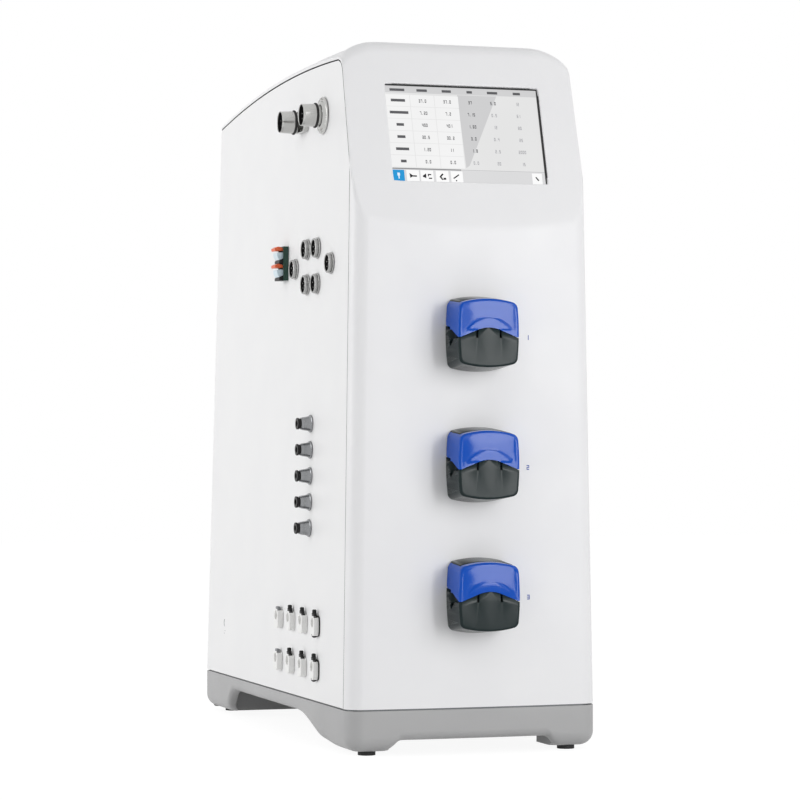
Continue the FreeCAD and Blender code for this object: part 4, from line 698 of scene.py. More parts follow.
# %% Lid sheets
def lid_front():
    """(x, z, d) of the front: columns straight up from the arch to the top's bow and round corners.
    Rows follow the grip: arch, grip's foot, grip's crest, foot again, then the upper face."""
    right_x = np.concatenate([half_top, CORNER_X + CORNER_R * np.sin(corner_turn)])
    right_top = np.concatenate([33.0 - half_top ** 2 / 227.8, CORNER_Z + CORNER_R * np.cos(corner_turn)])
    x = np.concatenate([-right_x[:0:-1], right_x])
    top = np.concatenate([right_top[:0:-1], right_top])
    foot = arch_z(x)
    crest = GRIP_FOOT + np.sqrt(np.clip(GRIP_RADIUS ** 2 - x ** 2, 0, None)) - 16.79
    crest = np.minimum(np.where(np.abs(x) < GRIP_HALF, crest, GRIP_FOOT), top - 1)
    low = np.maximum(foot, GRIP_FOOT)
    low = np.minimum(low, crest)
    keys = [(foot, low - 0.5 * (low > foot), 2), (low - 0.5 * (low > foot), low, 1),
            (low, crest - 0.7 * (crest > low + 1), 4), (crest - 0.7 * (crest > low + 1), crest, 2),
            (crest, top, 8)]
    z = [foot[None, :]]
    for start, end, count in keys:
        part = np.linspace(0, 1, count + 1)[1:, None]
        z.append(start + (end - start) * part)
    z = np.concatenate(z)
    x = np.broadcast_to(x, z.shape)
    from_low = np.where(foot + 0.01 < low, np.clip((z - low + 0.5) / 0.5, 0, 1), 1.0)
    grip = GRIP_RISE * from_low * np.clip((crest - z) / 0.7, 0, 1) * (np.abs(x) < GRIP_HALF)
    crown = CROWN_RISE * (1 - (x / LID_HALF) ** 2) * np.clip(1 - ((z - 16.0) / 21.0) ** 2, 0, 1)
    edge = np.clip((LID_HALF - np.abs(x)) / 3, 0, 1)
    return np.stack([x, z, LID_FRONT + (grip + crown) * edge], axis=-1)


def lid_sheets(level):
    """Front, rim, roof strip and cheeks. The border of the front is carried outwards round the rim and
    then straight back: P = border + normal * 2.5 sin t, d = 39.5 + 2.5 cos t, then d down to the end.
    Behind the rim the cheek's lower edge climbs by 8 mm, which clears the tube's notch."""
    front = lid_front()
    border = np.concatenate([front[:-1, 0], front[-1], front[-2::-1, -1]])
    x, z = border[:, 0], border[:, 1]
    out_x = np.clip((np.abs(x) - CORNER_X) / CORNER_R, 0, 1)
    out_x = np.where(z < CORNER_Z, 1.0, np.where(np.abs(x) < 27.4, np.abs(x) / 113.9, out_x)) * np.sign(x)
    out_z = np.sqrt(np.clip(1 - out_x ** 2, 0, None))
    turn_rim = np.radians(np.linspace(0, 90, 6))[:, None]
    rim_x = x + out_x * LID_RIM * np.sin(turn_rim)
    rim_z = z + out_z * LID_RIM * np.sin(turn_rim)
    rim_d = border[:, 2] - LID_RIM + LID_RIM * np.cos(turn_rim)
    swept = 13.0 - np.sqrt(np.clip(22.3 ** 2 - (26.5 - z) ** 2, 0, None))
    end = np.where(z < 4.2, 14.5, np.clip(swept, 0.6, 14.5))
    back = np.concatenate([39.0 - 7.0 * np.linspace(0, 1, 4)[1:, None] + 0 * end,
                           32.0 + (end - 32.0) * np.linspace(0, 1, 11)[1:, None]])
    run_x = np.concatenate([rim_x, np.broadcast_to(rim_x[-1], back.shape)])
    run_z = np.concatenate([rim_z, np.broadcast_to(rim_z[-1], back.shape)])
    run_d = np.concatenate([rim_d, back])
    lift = np.clip((LID_FRONT - 2.0 - run_d) * 8 / 20, 0, 8)
    run_z = run_z + lift * np.clip((8 - run_z) / 12.3, 0, 1)
    over_hood = (np.abs(rim_x[-1]) < 30.8) & (z > 20)
    gone = over_hood[:-1] & over_hood[1:]
    skip = np.zeros((len(run_d) - 1, len(x) - 1), bool)
    skip[8:] = gone
    return [lattice(lid_point(front[..., 0], front[..., 1], front[..., 2], level)),
            lattice(lid_point(run_x, run_z, run_d, level), skip=skip)]


def add_wall(made, wall, edge):
    """A wall inside the sheet, with its edges rounded, ahead of the weighted normals."""
    solid = made.modifiers.new("wall", "SOLIDIFY")
    solid.thickness = wall * MM
    solid.offset = -1.0
    solid.use_even_offset = True
    soft = made.modifiers.new("edge", "BEVEL")
    soft.width = edge * MM
    soft.segments = 2
    soft.limit_method = "ANGLE"
    soft.angle_limit = math.radians(50)
    made.modifiers.move(0, 2)


for number, level in enumerate(PUMP_LEVELS, start=1):
    lid = piece(f"flip_lid_{number}", lid_sheets(level), f"pump_lid_{number}", lid_blue,
                [f"pump_lid_{number}"], crease=50)
    add_wall(lid, LID_WALL, 0.35)

# %% [markdown]
# ## Pump bodies and what the lids hide
# Under each lid sits a dark, satin body with two relief slots and a slanted notch for the tube in each
# side. Behind its mouth a three-roller rotor squeezes the tube against a grey track, which the lid
# lifts as it opens. These forms are plain machined or moulded solids, so a merged copy of the CAD
# node, shaded smooth only where the angle is small, already has the right edges.

# %% Bodies, tracks, rotors and motors
# satin dark moulding: a broad dull highlight, a little green in the grey
pump_dark = finish_of("dark_satin_abs", "1B2728", "202C2D", 0.17, grain=0.5, relief=0.002, specular=0.13)
# grey acetal: hard and slippery, so a tighter highlight than the body
track_grey = finish_of("grey_acetal", "6E7174", "75787B", 0.34, grain=0.8, relief=0.006)
# ground steel rollers: bright and nearly sharp
roller_metal = finish_of("ground_steel", "C9CACC", "BFC0C3", 0.22, metal=1.0, grain=0.25, relief=0.002)
# turned and cast motor cans: grey metal with a coarse texture
motor_metal = finish_of("cast_aluminium", "8E9092", "858789", 0.45, metal=1.0, grain=1.2, relief=0.02)
for number in (1, 2, 3):
    smooth_copy(f"pump_housing_{number}", f"pump_body_{number}", "station", pump_dark)
    smooth_copy(f"tube_track_{number}", f"pump_track_{number}", f"pump_track_{number}",
                track_grey)
    smooth_copy(f"roller_carrier_{number}", f"pump_rotor_{number}", f"pump_rotor_{number}",
                track_grey)
    smooth_copy(f"rollers_{number}", f"pump_rollers_{number}", f"pump_rotor_{number}",
                roller_metal)
smooth_copy("drive_motors", "pump_motors", "station", motor_metal)
print("three pumps finished")

# %% [markdown]
# ## The display
# A flat panel lies in a black liner, some millimetres behind the face. Its picture gives off light, so
# each area is an Emission colour under a clear coat: the colour stays the same in any light, and the
# coat adds the faint reflection of a glass front. A picture file would be the usual way. Flat shapes
# keep it sharp at any distance and need no file, so the picture is a set of thin layers, a twentieth
# of a millimetre apart. Its labels are plain bars and its values plain digits.

# %% Display finishes and the layer maker
def lit(name, code):
    """A lit area of the panel under clear glass."""
    material = bpy.data.materials.new(name)
    material.use_nodes = True
    tree = material.node_tree
    tree.nodes.clear()
    place = add_node(tree, "ShaderNodeTexCoord").outputs["Object"]
    cloud = add_node(tree, "ShaderNodeTexNoise", Vector=place, Scale=per_metre(70), Detail=1.0)
    power = add_node(tree, "ShaderNodeMapRange", Value=cloud.outputs["Fac"], To_Min=0.97, To_Max=1.03)
    shader = add_node(tree, "ShaderNodeBsdfPrincipled", Base_Color=(0.01, 0.01, 0.01, 1), Roughness=0.25,
                      Emission_Color=linear(code), Emission_Strength=power.outputs["Result"],
                      Coat_Weight=0.2, Coat_Roughness=0.08)
    shader.inputs["Specular IOR Level"].default_value = 0.0
    add_node(tree, "ShaderNodeOutputMaterial", Surface=shader.outputs["BSDF"])
    return material


PICTURE = (172.8, 110.8, 7.4)                 # width, height and depth of the panel in its opening


def at_picture(right, down, layer):
    """A point of the picture from fractions of its width and height, layer twentieths in front."""
    right, down = np.asarray(right, float), np.asarray(down, float)
    return in_face((right - 0.5) * PICTURE[0], (0.5 - down) * PICTURE[1], PICTURE[2] - 0.05 * layer)


def quad_sheets(corners, layer):
    """One sheet per four-cornered area; corners are (right, down) fractions, clockwise."""
    return [(at_picture(np.array(area)[:, 0], np.array(area)[:, 1], layer), np.array([[0, 1, 2, 3]]))
            for area in corners]


def rect(x0, x1, y0, y1):
    """The four corners of an upright rectangle."""
    return [(x0, y0), (x1, y0), (x1, y1), (x0, y1)]


# each digit as bars of a seven-bar figure: across top, upper right, lower right, bottom, lower left,
# upper left, middle
BARS = ((0, 1, 0, 0.2), (0.7, 1, 0, 0.5), (0.7, 1, 0.5, 1), (0, 1, 0.8, 1), (0, 0.3, 0.5, 1),
        (0, 0.3, 0, 0.5), (0, 1, 0.4, 0.6))
LIT_BARS = ("012345", "12", "01346", "01236", "1256", "02356", "023456", "012", "0123456", "012356")


def digits(text, middle_x, middle_y, width, height):
    """Areas of the digits of text round a middle, with a dot for a point."""
    step = width * 1.35
    left = middle_x - step * len(text) / 2
    areas = []
    for place, letter in enumerate(text):
        x, y = left + place * step, middle_y - height / 2
        bars = [(0.3, 0.6, 0.8, 1.0)] if letter == "." else [BARS[int(n)] for n in LIT_BARS[int(letter)]]
        areas += [rect(x + a * width, x + b * width, y + c * height, y + e * height) for a, b, c, e in bars]
    return areas


# %% The picture's layers
VALUES = (("37.0", "37.0", "37", "5.0", "12"), ("7.20", "7.2", "7.15", "0.5", "61"),
          ("400", "401", "1.60", "12", "80"), ("30.5", "30.2", "3.0", "0.4", "25"),
          ("1.20", "11", "1.8", "2.5", "2000"), ("0.0", "0.0", "0.0", "20", "15"))
columns = (0.09, 0.25, 0.41, 0.56, 0.71, 0.87)
row_y = [0.15 + 0.125 * i for i in range(6)]
label_half = (0.048, 0.034, 0.030, 0.018, 0.034, 0.024)
name_half = (0.046, 0.060, 0.024, 0.026, 0.042, 0.018)
labels = [rect(x - w, x + w, 0.028, 0.054) for x, w in zip(columns, label_half)]
names = [rect(0.09 - w, 0.09 + w, y - 0.014, y + 0.014) for y, w in zip(row_y, name_half)]
cells = [rect(0.012 + 0.158 * c, 0.166 + 0.158 * c, y - 0.060, y + 0.060) for c in range(3) for y in row_y]
# painted glare: the digits right of a slanting edge are paler, as a reflection over the screen's right part would
# make them
dark, glare_paled_digits = [], []
for row, (y, values) in enumerate(zip(row_y, VALUES)):
    for column, text in enumerate(values, start=1):
        edge = 0.735 - 0.042 * row
        target = dark if columns[column] < edge else glare_paled_digits
        target += digits(text, columns[column], y, 0.0095, 0.034)
# painted reflection: a darker slanting wedge over the picture, as a reflection in the glass would give
reflection_wedge = [[(0.478, 0.075), (0.735, 0.075), (0.515, 0.80), (0.490, 0.83)]]
tiles = [rect(0.10, 0.18, 0.865, 0.985), rect(0.19, 0.272, 0.865, 0.985), rect(0.288, 0.37, 0.865, 0.985),
         rect(0.385, 0.462, 0.865, 0.985), rect(0.915, 0.98, 0.865, 0.985)]
glyphs = [[(0.118, 0.895), (0.145, 0.925), (0.132, 0.935), (0.122, 0.945)], rect(0.138, 0.165, 0.918, 0.932),
          [(0.203, 0.920), (0.225, 0.895), (0.225, 0.945), (0.203, 0.930)],
          rect(0.236, 0.258, 0.900, 0.912), rect(0.236, 0.242, 0.912, 0.925), rect(0.240, 0.262, 0.938, 0.950),
          [(0.310, 0.925), (0.330, 0.890), (0.338, 0.900), (0.318, 0.932)],
          [(0.310, 0.925), (0.318, 0.915), (0.335, 0.955), (0.325, 0.958)],
          rect(0.335, 0.352, 0.935, 0.955),
          [(0.398, 0.935), (0.435, 0.895), (0.439, 0.905), (0.402, 0.945)], rect(0.414, 0.422, 0.955, 0.967),
          [(0.935, 0.905), (0.942, 0.900), (0.960, 0.935), (0.952, 0.942)]]
strip = [rect(0.0, 0.455, 0.845, 0.857)]
strip_end = [rect(0.455, 1.0, 0.848, 0.854), rect(0.0, 0.38, 0.990, 0.998)]
layers = (("panel", [rect(0, 1, 0, 1)], 0, "E4E4E4"), ("picture_head", [rect(0, 1, 0, 0.07)], 1, "D0D0D1"),
          ("painted_reflection_wedge", reflection_wedge, 1, "CDCDCE"), ("picture_bar", [rect(0, 1, 0.857, 1.0)], 1, "DADADB"),
          ("picture_cells", cells, 2, "F2F2F2"), ("picture_tiles", tiles, 2, "FAFAFA"),
          ("picture_tile_blue", [rect(0.012, 0.086, 0.865, 0.985)], 2, "1F97D6"),
          ("picture_strip", strip, 2, "8C8C8E"), ("picture_strip_end", strip_end, 2, "BEBEC0"),
          ("picture_labels", labels + names, 3, "5A5A5D"), ("picture_dark", dark, 3, "4E4E52"),
          ("painted_glare_digits", glare_paled_digits, 3, "A8A8AC"), ("picture_glyphs", glyphs, 3, "121214"),
          ("picture_mark", [rect(0.041, 0.057, 0.895, 0.925), rect(0.046, 0.053, 0.925, 0.955)], 3, "EAF6FF"))
for name, areas, layer, code in layers:
    piece(name, quad_sheets(areas, layer), "station", lit(name + "_light", code),
          ["touch_display"] if name == "panel" else ())
liner_rows = [in_face(loop_u * 173 / 175.4, loop_v * 111 / 113.4, back) for back in (1.2, 1.5, 4.5, 7.5)]
liner = np.stack(liner_rows)
piece("display_liner", [lattice(liner, wrap=True)], "station", rubber_black,
      ["display_gasket"])

# %% [markdown]
# ## Connections in the left side
# Plated probe and drive connectors, a green terminal block, bell-shaped gas fittings and white water
# couplings stand on the left panel. The round ones come off a lathe, so each is a profile carried
# round its axis. Every corner of the profile is cut back by a fraction of a millimetre: the bright
# line that such a broken edge shows is what makes a small metal part look turned and not drawn.

# %% Finishes of the connections
# satin nickel plate: metallic, with a slightly spread reflection and fine turning marks
nickel = finish_of("satin_nickel_plate", "C4C4C2", "B0B0AE", 0.20, metal=1.0, grain=0.35, relief=0.003)
# the probe sockets and pins have a darker plate over a coarser turned surface
gunmetal = finish_of("dark_nickel_plate", "B2B2B1", "9A9A99", 0.24, metal=1.0, grain=0.35, relief=0.004)
# grey satin bells of the gas fittings: bead-blasted aluminium
bell_grey = finish_of("blasted_aluminium", "98999B", "848688", 0.26, metal=0.95, grain=0.3, relief=0.006)
# black nylon of inserts, latches and collets
black_plastic = finish_of("black_nylon", "0F0F10", "161617", 0.45, grain=0.4, relief=0.010, specular=0.3)
# grey cap of the first couplings' latches
cap_grey = finish_of("grey_nylon", "8B8D90", "7F8184", 0.42, grain=0.4, relief=0.010)
# natural white acetal of the water couplings: milky, with a soft gloss
coupling_white = finish_of("white_acetal", "F1F1F0", "ECECEA", 0.34, grain=0.9, relief=0.006)
# dark green housing of the terminal block
header_green = finish_of("green_nylon", "0B3529", "0E3D30", 0.40, grain=0.5, relief=0.010)
# pale plugs, faintly blue
plug_pale = finish_of("pale_polycarbonate", "D6E6EE", "C9DDE8", 0.30, grain=0.7, relief=0.006)
# orange release buttons
button_orange = finish_of("orange_nylon", "E8683A", "DF5E30", 0.38, grain=0.5, relief=0.010)


# %% Turned pieces on the left panel
def broken(profile, cut):
    """Cuts each inner corner of a (reach, radius) profile back by cut, or by a third of its shorter leg."""
    profile = np.array(profile, float)
    before, corner, after = profile[:-2], profile[1:-1], profile[2:]
    legs = [np.linalg.norm(end - corner, axis=1, keepdims=True) for end in (before, after)]
    size = np.minimum(cut, np.minimum(*legs) / 3)
    first = corner + (before - corner) / legs[0] * size
    last = corner + (after - corner) / legs[1] * size
    inner = np.stack([first, (first + last + corner) / 3, last], axis=1).reshape(-1, 2)
    return np.concatenate([profile[:1], inner, profile[-1:]])


def turned(y, z, profile, cut=0.3, count=48):
    """A profile carried round the axis that stands on the left panel at (y, z):
    x = -side - reach, y + radius cos a, z + radius sin a."""
    reach, radius = broken(profile, cut).T[:, :, None]
    around = np.linspace(0, 2 * math.pi, count, endpoint=False)
    return lattice(np.stack([-side_x(z) - reach + 0 * around, y + radius * np.cos(around),
                             z + radius * np.sin(around)], axis=-1), wrap=True)


# %% Drive and probe connectors
DRIVES = ((-89.0, 677.5), (-173.0, 677.0))
PROBES = ((-120.0, 536.0), (-159.0, 535.5), (-211.0, 516.5), (-74.0, 516.7), (-120.5, 497.6), (-159.0, 497.0))
drive_profile = ((0.3, 9.0), (0.3, 12.6), (2.4, 12.6), (2.4, 10.6), (8.6, 10.6), (9.0, 12.0), (11.4, 12.3),
                 (23.4, 11.9), (25.5, 11.7), (25.5, 11.1), (24.6, 10.9), (16.0, 10.9), (16.0, 0.02))
probe_profile = ((0.3, 8.6), (0.3, 11.4), (1.2, 11.8), (1.9, 11.3), (2.2, 9.7), (2.9, 9.7), (3.1, 10.6),
                 (4.9, 10.6), (5.8, 9.9), (5.8, 8.8), (5.3, 8.5), (1.4, 8.5), (1.4, 0.02))
piece("drive_shells", [turned(y, z, drive_profile) for y, z in DRIVES], "station", nickel,
      ["bayonet_connectors"], crease=30)
piece("probe_sockets", [turned(y, z, probe_profile) for y, z in PROBES], "station", gunmetal,
      ["sensor_connectors"], crease=30)
# the mouths are lined with black nylon, which keeps them dark from any side
mouths = [turned(y, z, ((24.6, 10.8), (19.5, 10.6), (19.5, 0.02)), 0.1) for y, z in DRIVES]
mouths += [turned(y, z, ((5.3, 8.4), (2.2, 8.2), (2.2, 0.02)), 0.1) for y, z in PROBES]


def rear_socket(x, z, profile, count=32):
    """A profile of (reach, radius) round the axis that stands on the rear at (x, z)."""
    reach, radius = np.array(profile, float).T[:, :, None]
    around = np.linspace(0, 2 * math.pi, count, endpoint=False)
    return lattice(np.stack([x + radius * np.cos(around), rear_y(z) + reach + 0 * around,
                             z + radius * np.sin(around)], axis=-1), wrap=True)


def pins(y, z, foot, tip, ring, count):
    """Round contact pins of 0.6 mm radius on a circle of radius ring, from foot to tip."""
    places = np.arange(count) * 2 * math.pi / count + 0.4
    stick = ((foot, 0.6), (tip - 0.3, 0.6), (tip, 0.4), (tip, 0.02))
    return [turned(y + ring * math.cos(a), z + ring * math.sin(a), stick, 0.1, 8) for a in places]


mouths += [rear_socket(x, 200.0, ((8.9, 7.5), (5.9, 7.5), (5.9, 0.02))) for x in (50.0, 80.0)]
piece("mouth_liners", mouths, "station", black_plastic, ["connector_inserts"], crease=30)
contacts = [stick for y, z in DRIVES for stick in pins(y, z, 19.4, 23.0, 5.0, 5)]
contacts += [stick for y, z in PROBES for stick in pins(y, z, 2.1, 4.6, 4.0, 4)]
piece("contact_pins", contacts, "station", gunmetal, crease=40)
# a moulded ring seals each drive connector's base, thicker than the groove that it sits in
seal = np.stack([9.5 + 1.3 * np.cos(np.linspace(0, 2 * math.pi, 13)),
                 12.3 + 1.3 * np.sin(np.linspace(0, 2 * math.pi, 13))], axis=-1)
piece("drive_seals", [turned(y, z, seal, 0.01) for y, z in DRIVES], "station", rubber_black,
      ["connector_o_rings"], crease=60)

# %% Gas bells, in blasted aluminium
GAS = [(-142.0, 346.0 - 28.25 * i) for i in range(5)]
bell_profile = ((0.3, 7.6), (0.3, 9.6), (1.5, 9.6), (1.8, 8.7), (3.4, 8.0), (5.6, 7.5), (9.6, 7.0), (10.4, 6.6),
                (12.0, 6.4), (12.0, 5.4), (5.0, 5.4))
piece("gas_bells", [turned(y, z, bell_profile, 0.25) for y, z in GAS], "station", bell_grey,
      ["gas_fittings"], crease=30)

# %% [markdown]
# ## Water couplings
# These are moulded from white acetal. Each stands on a rounded flange, and its body is a rounded oblong
# taller than the hose that it takes. A superellipse gives that outline from one formula, and its power
# sets how square it looks: 2 is an ellipse, 4 nearly a rectangle. A slot is left open in the top, where
# the thumb latch's plate drops in.

# %% Coupling shells
COLUMNS = (-35.5, -83.5, -131.5, -179.0)
COUPLINGS = [(y, z) for z in (133.0, 86.0) for y in COLUMNS]


def oblong(y, z, rows, count=64):
    """Rings of |u / half width| ** n + |v / half height| ** n = 1, one for each
    (reach, half width, half height, rise of the middle, n) in rows."""
    reach, wide, high, rise, power = np.array(rows, float).T[:, :, None]
    around = (np.arange(count) + 0.5) * 2 * math.pi / count
    u = wide * np.sign(np.cos(around)) * np.abs(np.cos(around)) ** (2 / power)
    v = high * np.sign(np.sin(around)) * np.abs(np.sin(around)) ** (2 / power)
    return np.stack([-side_x(z) - reach + 0 * around, y + u, z + rise + v], axis=-1)


shell_rows = ((0.3, 9.2, 10.3, -3.6, 4), (0.5, 9.5, 10.6, -3.6, 4), (1.0, 9.5, 10.6, -3.6, 4),
              (1.2, 9.2, 10.3, -3.8, 4), (1.3, 8.6, 10.2, -4, 4), (5.8, 8.6, 10.2, -4, 4), (6.2, 8.4, 10.0, -4, 4),
              (6.4, 8.1, 9.7, -4, 4), (6.4, 5.4, 5.4, 0, 2), (6.2, 5.1, 5.1, 0, 2), (3.4, 5.1, 5.1, 0, 2),
              (3.4, 0.02, 0.02, 0, 2))
shells = []
for y, z in COUPLINGS:
    rings = oblong(y, z, shell_rows)
    slot = np.zeros((len(rings) - 1, rings.shape[1]), bool)
    slot[4] = (np.abs(rings[4, :, 1] - y) < 5.9) & (rings[4, :, 2] > z)
    shells.append(lattice(rings, wrap=True, skip=slot))
piece("coupling_shells", shells, "station", coupling_white, ["water_couplings"], crease=35)
# the last column has a black ring behind its flange, a little larger than the flange, so a dark edge
# shows round it; and below a black drain knob under its body
last = [(y, z) for y, z in COUPLINGS if y == COLUMNS[-1]]
piece("coupling_dark_rims", [lattice(oblong(y, z, ((0.1, 10.0, 10.9, -3.6, 4), (0.3, 10.3, 11.2, -3.6, 4),
                                               (1.1, 10.3, 11.2, -3.6, 4), (1.3, 10.0, 10.9, -3.6, 4),
                                               (1.3, 9.0, 10.0, -3.6, 4))), wrap=True) for y, z in last],
      "station", rubber_black, crease=35)


def upright(x, y, z, profile, count=32):
    """A profile of (drop, radius) carried round the vertical line through (x, y), down from z."""
    drop, radius = np.array(profile, float).T[:, :, None]
    around = np.linspace(0, 2 * math.pi, count, endpoint=False)
    return lattice(np.stack([x + radius * np.cos(around), y + radius * np.sin(around), z - drop + 0 * around],
                            axis=-1), wrap=True)


# %% Mounts of the drive connectors, and drain knobs
# one mount is an oblong block, the other a stepped round collar with a groove in its face
block_rows = ((0.3, 19.6, 11.9, 0, 5), (0.6, 20.0, 12.3, 0, 5), (5.4, 20.0, 12.3, 0, 5), (6.0, 19.4, 11.7, 0, 5),
              (6.0, 11.0, 11.0, 0, 2), (2.4, 11.0, 11.0, 0, 2))
collar_profile = ((0.3, 12.0), (0.3, 19.8), (1.4, 20.4), (2.6, 19.8), (3.2, 18.6), (2.2, 17.8), (1.6, 16.6),
                  (2.2, 15.4), (3.4, 15.0), (5.2, 14.2), (5.8, 13.0), (5.8, 10.7))
piece("drive_collars", [lattice(oblong(-97.0, DRIVES[0][1], block_rows), wrap=True),
                        turned(*DRIVES[1], collar_profile, 0.4, 64)],
      "station", nickel, ["connector_collars"], crease=30)
knob_profile = ((0.0, 2.2), (0.8, 2.2), (1.2, 2.8), (1.8, 3.1), (3.2, 3.1), (4.6, 2.8), (5.4, 2.0), (5.8, 1.0),
                (5.9, 0.02))
piece("drain_knobs", [upright(-side_x(z) - 3.4, y, z - 10.4, knob_profile) for y, z in last], "station",
      black_plastic, crease=50)


# %% Thumb latches
def puck(y, z, reach, rows, power=4, count=32):
    """Level rings of |u / a| ** n + |v / b| ** n = 1 about (reach, y), one for each (height, a, b)."""
    height, half_reach, half_across = np.array(rows, float).T[:, :, None]
    around = (np.arange(count) + 0.5) * 2 * math.pi / count
    u = half_reach * np.sign(np.cos(around)) * np.abs(np.cos(around)) ** (2 / power)
    v = half_across * np.sign(np.sin(around)) * np.abs(np.sin(around)) ** (2 / power)
    return lattice(np.stack([-side_x(z) - reach + u, y + v, z + height + 0 * around], axis=-1), wrap=True)


plate_rows = ((3.2, 0.02, 0.02), (3.2, 0.6, 5.2), (7.4, 0.6, 5.2), (7.4, 0.02, 0.02))
pad_rows = ((7.0, 0.02, 0.02), (7.0, 1.8, 3.9), (7.2, 2.1, 4.2), (9.0, 2.1, 4.2), (9.6, 1.7, 3.7), (9.8, 1.2, 3.0),
            (9.8, 0.02, 0.02))
peg_profile = ((0.0, 0.02), (0.0, 1.5), (0.5, 2.2), (1.2, 2.4), (2.6, 2.3), (3.6, 2.4), (4.6, 3.0))
for number, (y, z) in enumerate(COUPLINGS, start=1):
    sheets = [puck(y, z, 2.5, plate_rows, 10), puck(y, z, 3.6, pad_rows)]
    if y != COLUMNS[0]:
        sheets.append(upright(-side_x(z) - 3.6, y, z + 14.0, peg_profile))
    piece(f"thumb_latch_{number}", sheets, f"coupling_latch_{number}",
          cap_grey if y == COLUMNS[0] else black_plastic, [f"coupling_latch_{number}"], crease=40)

# %% [markdown]
# ## Terminal block
# Two pale plugs sit in a dark green housing, one over the other, and an orange lever lies on each. They
# are plain extruded shapes, so each is a lower and an upper chain of corners in the side view, carried
# across the width. A Bevel modifier then rounds the moulded edges.


# %% Plugs, levers and contact carriers
def prism(lower, upper, y0, y1, z):
    """A solid between two chains of (reach, height) corners, from y0 to y1, about height z."""
    lower, upper = np.array(lower, float), np.array(upper, float)

    def at(chain, y):
        """A chain of corners at y, on the left panel."""
        return np.stack([-side_x(525.0) - chain[:, 0], np.full(len(chain), y), z + chain[:, 1]], axis=-1)

    loop = np.concatenate([lower, upper[::-1]])
    return [lattice(np.stack([at(loop, y0), at(loop, y1)]), wrap=True),
            lattice(np.stack([at(lower, y0), at(upper, y0)])), lattice(np.stack([at(lower, y1), at(upper, y1)]))]


def soften(made, width, limit=35):
    """Breaks the edges that turn by more than limit degrees, ahead of the weighted normals."""
    soft = made.modifiers.new("edge", "BEVEL")
    soft.width = width * MM
    soft.segments = 2
    soft.limit_method = "ANGLE"
    soft.angle_limit = math.radians(limit)
    made.modifiers.move(len(made.modifiers) - 1, 0)
    return made


PLUGS = (534.5, 515.5)
plugs, carriers = [], []
for number, level in enumerate(PLUGS, start=1):
    plugs += prism(((5.0, -3.6), (7.0, -4.6), (10.2, -6.0), (12.2, -2.0)),
                   ((5.0, 2.8), (7.0, 2.8), (10.0, 2.8), (12.8, 2.4)), -41.0, -25.0, level)
    carriers += prism(((5.0, -9.6), (10.6, -9.6)), ((5.0, -4.0), (10.4, -6.4)), -42.5, -23.5, level)
    lever = prism(((5.2, 4.6), (8.6, 4.6), (12.0, 4.5), (14.6, 4.2)),
                  ((5.2, 7.6), (8.6, 9.0), (11.6, 9.2), (15.2, 7.2)), -41.0, -25.0, level)
    soften(piece(f"release_lever_{number}", lever, f"terminal_button_{number}", button_orange,
                 [f"terminal_button_{number}"]), 0.5)
soften(piece("wire_plugs", plugs, "station", plug_pale, ["terminal_plugs"]), 0.4)
soften(piece("contact_carriers", carriers, "station", black_plastic), 0.3)

# %% Connections that take a smooth copy of their node
soften(smooth_copy("terminal_block", "terminal_header", "station", header_green), 0.3)
for number in range(1, 6):
    soften(smooth_copy(f"release_ring_{number}", f"gas_collet_{number}", f"gas_collet_{number}",
                       black_plastic), 0.2)

# %% Crescent catch low in the side
# a finger catch, open towards the front, with two pinholes under it. The sheet isn't cut: the catch
# and the holes are flat shapes in painted shade, the grey of a shaded recess, laid just in front of it
swing = np.radians(np.linspace(-1, 1, 25))
outer = np.stack([211.0 + 4.2 * np.cos(swing * 104), 110.0 + 4.2 * np.sin(swing * 104)], axis=-1)
inner = np.stack([209.0 + 4.2 * np.cos(swing * 76), 110.0 + 4.2 * np.sin(swing * 76)], axis=-1)
crescent = np.stack([outer, (outer + inner) / 2, inner])
dots = np.radians(np.arange(0, 360, 30))
holes = [np.stack([np.stack([y + r * np.cos(dots), z + r * np.sin(dots)], axis=-1) for r in (0.8, 0.02)])
         for y, z in ((209.5, 100.5), (212.5, 97.5))]


LIFT = 0.04                                   # how far prints and flat shapes stand off a surface


def on_side(plan):
    """(y, z) places as points LIFT millimetres in front of the left panel."""
    return np.stack([-side_x(plan[..., 1]) - LIFT, plan[..., 0], plan[..., 1]], axis=-1)


# painted shade: flat grey shapes stand for the shade inside the catch's recess and its two holes
recess_shade_paint = finish_of("shaded_recess", "5E6063", "6A6C6F", 0.6, grain=0.5, relief=0.01)
piece("crescent_catch", [lattice(on_side(crescent))] + [lattice(on_side(hole), wrap=True) for hole in holes],
      "station", recess_shade_paint, outwards=False)
print("side connections finished")

# %% [markdown]
# ## Feet, rear and inside
# Four rubber feet carry the base. At the rear are the fan's grille, the mains inlet with its rocker
# switch, gas inlets and data sockets, and a row of screws down each fold. The bulkhead, circuit board
# and power supply show only through gaps, but each still has a finish that suits its material.

# %% Feet and rear pieces
# zinc-plated steel screws: small bright heads
screw_steel = finish_of("zinc_plated_screw", "C2C3C5", "B2B3B6", 0.30, metal=1.0, grain=0.3, relief=0.004)
# green solder mask: glossy lacquer over copper
board_green = finish_of("green_solder_mask", "14512C", "1A5C33", 0.28, coat=0.4, grain=1.0, relief=0.004)
# galvanised steel case of the power supply
supply_case = finish_of("galvanised_case", "A9ABAD", "989A9D", 0.36, metal=0.9, grain=2.0, relief=0.004)
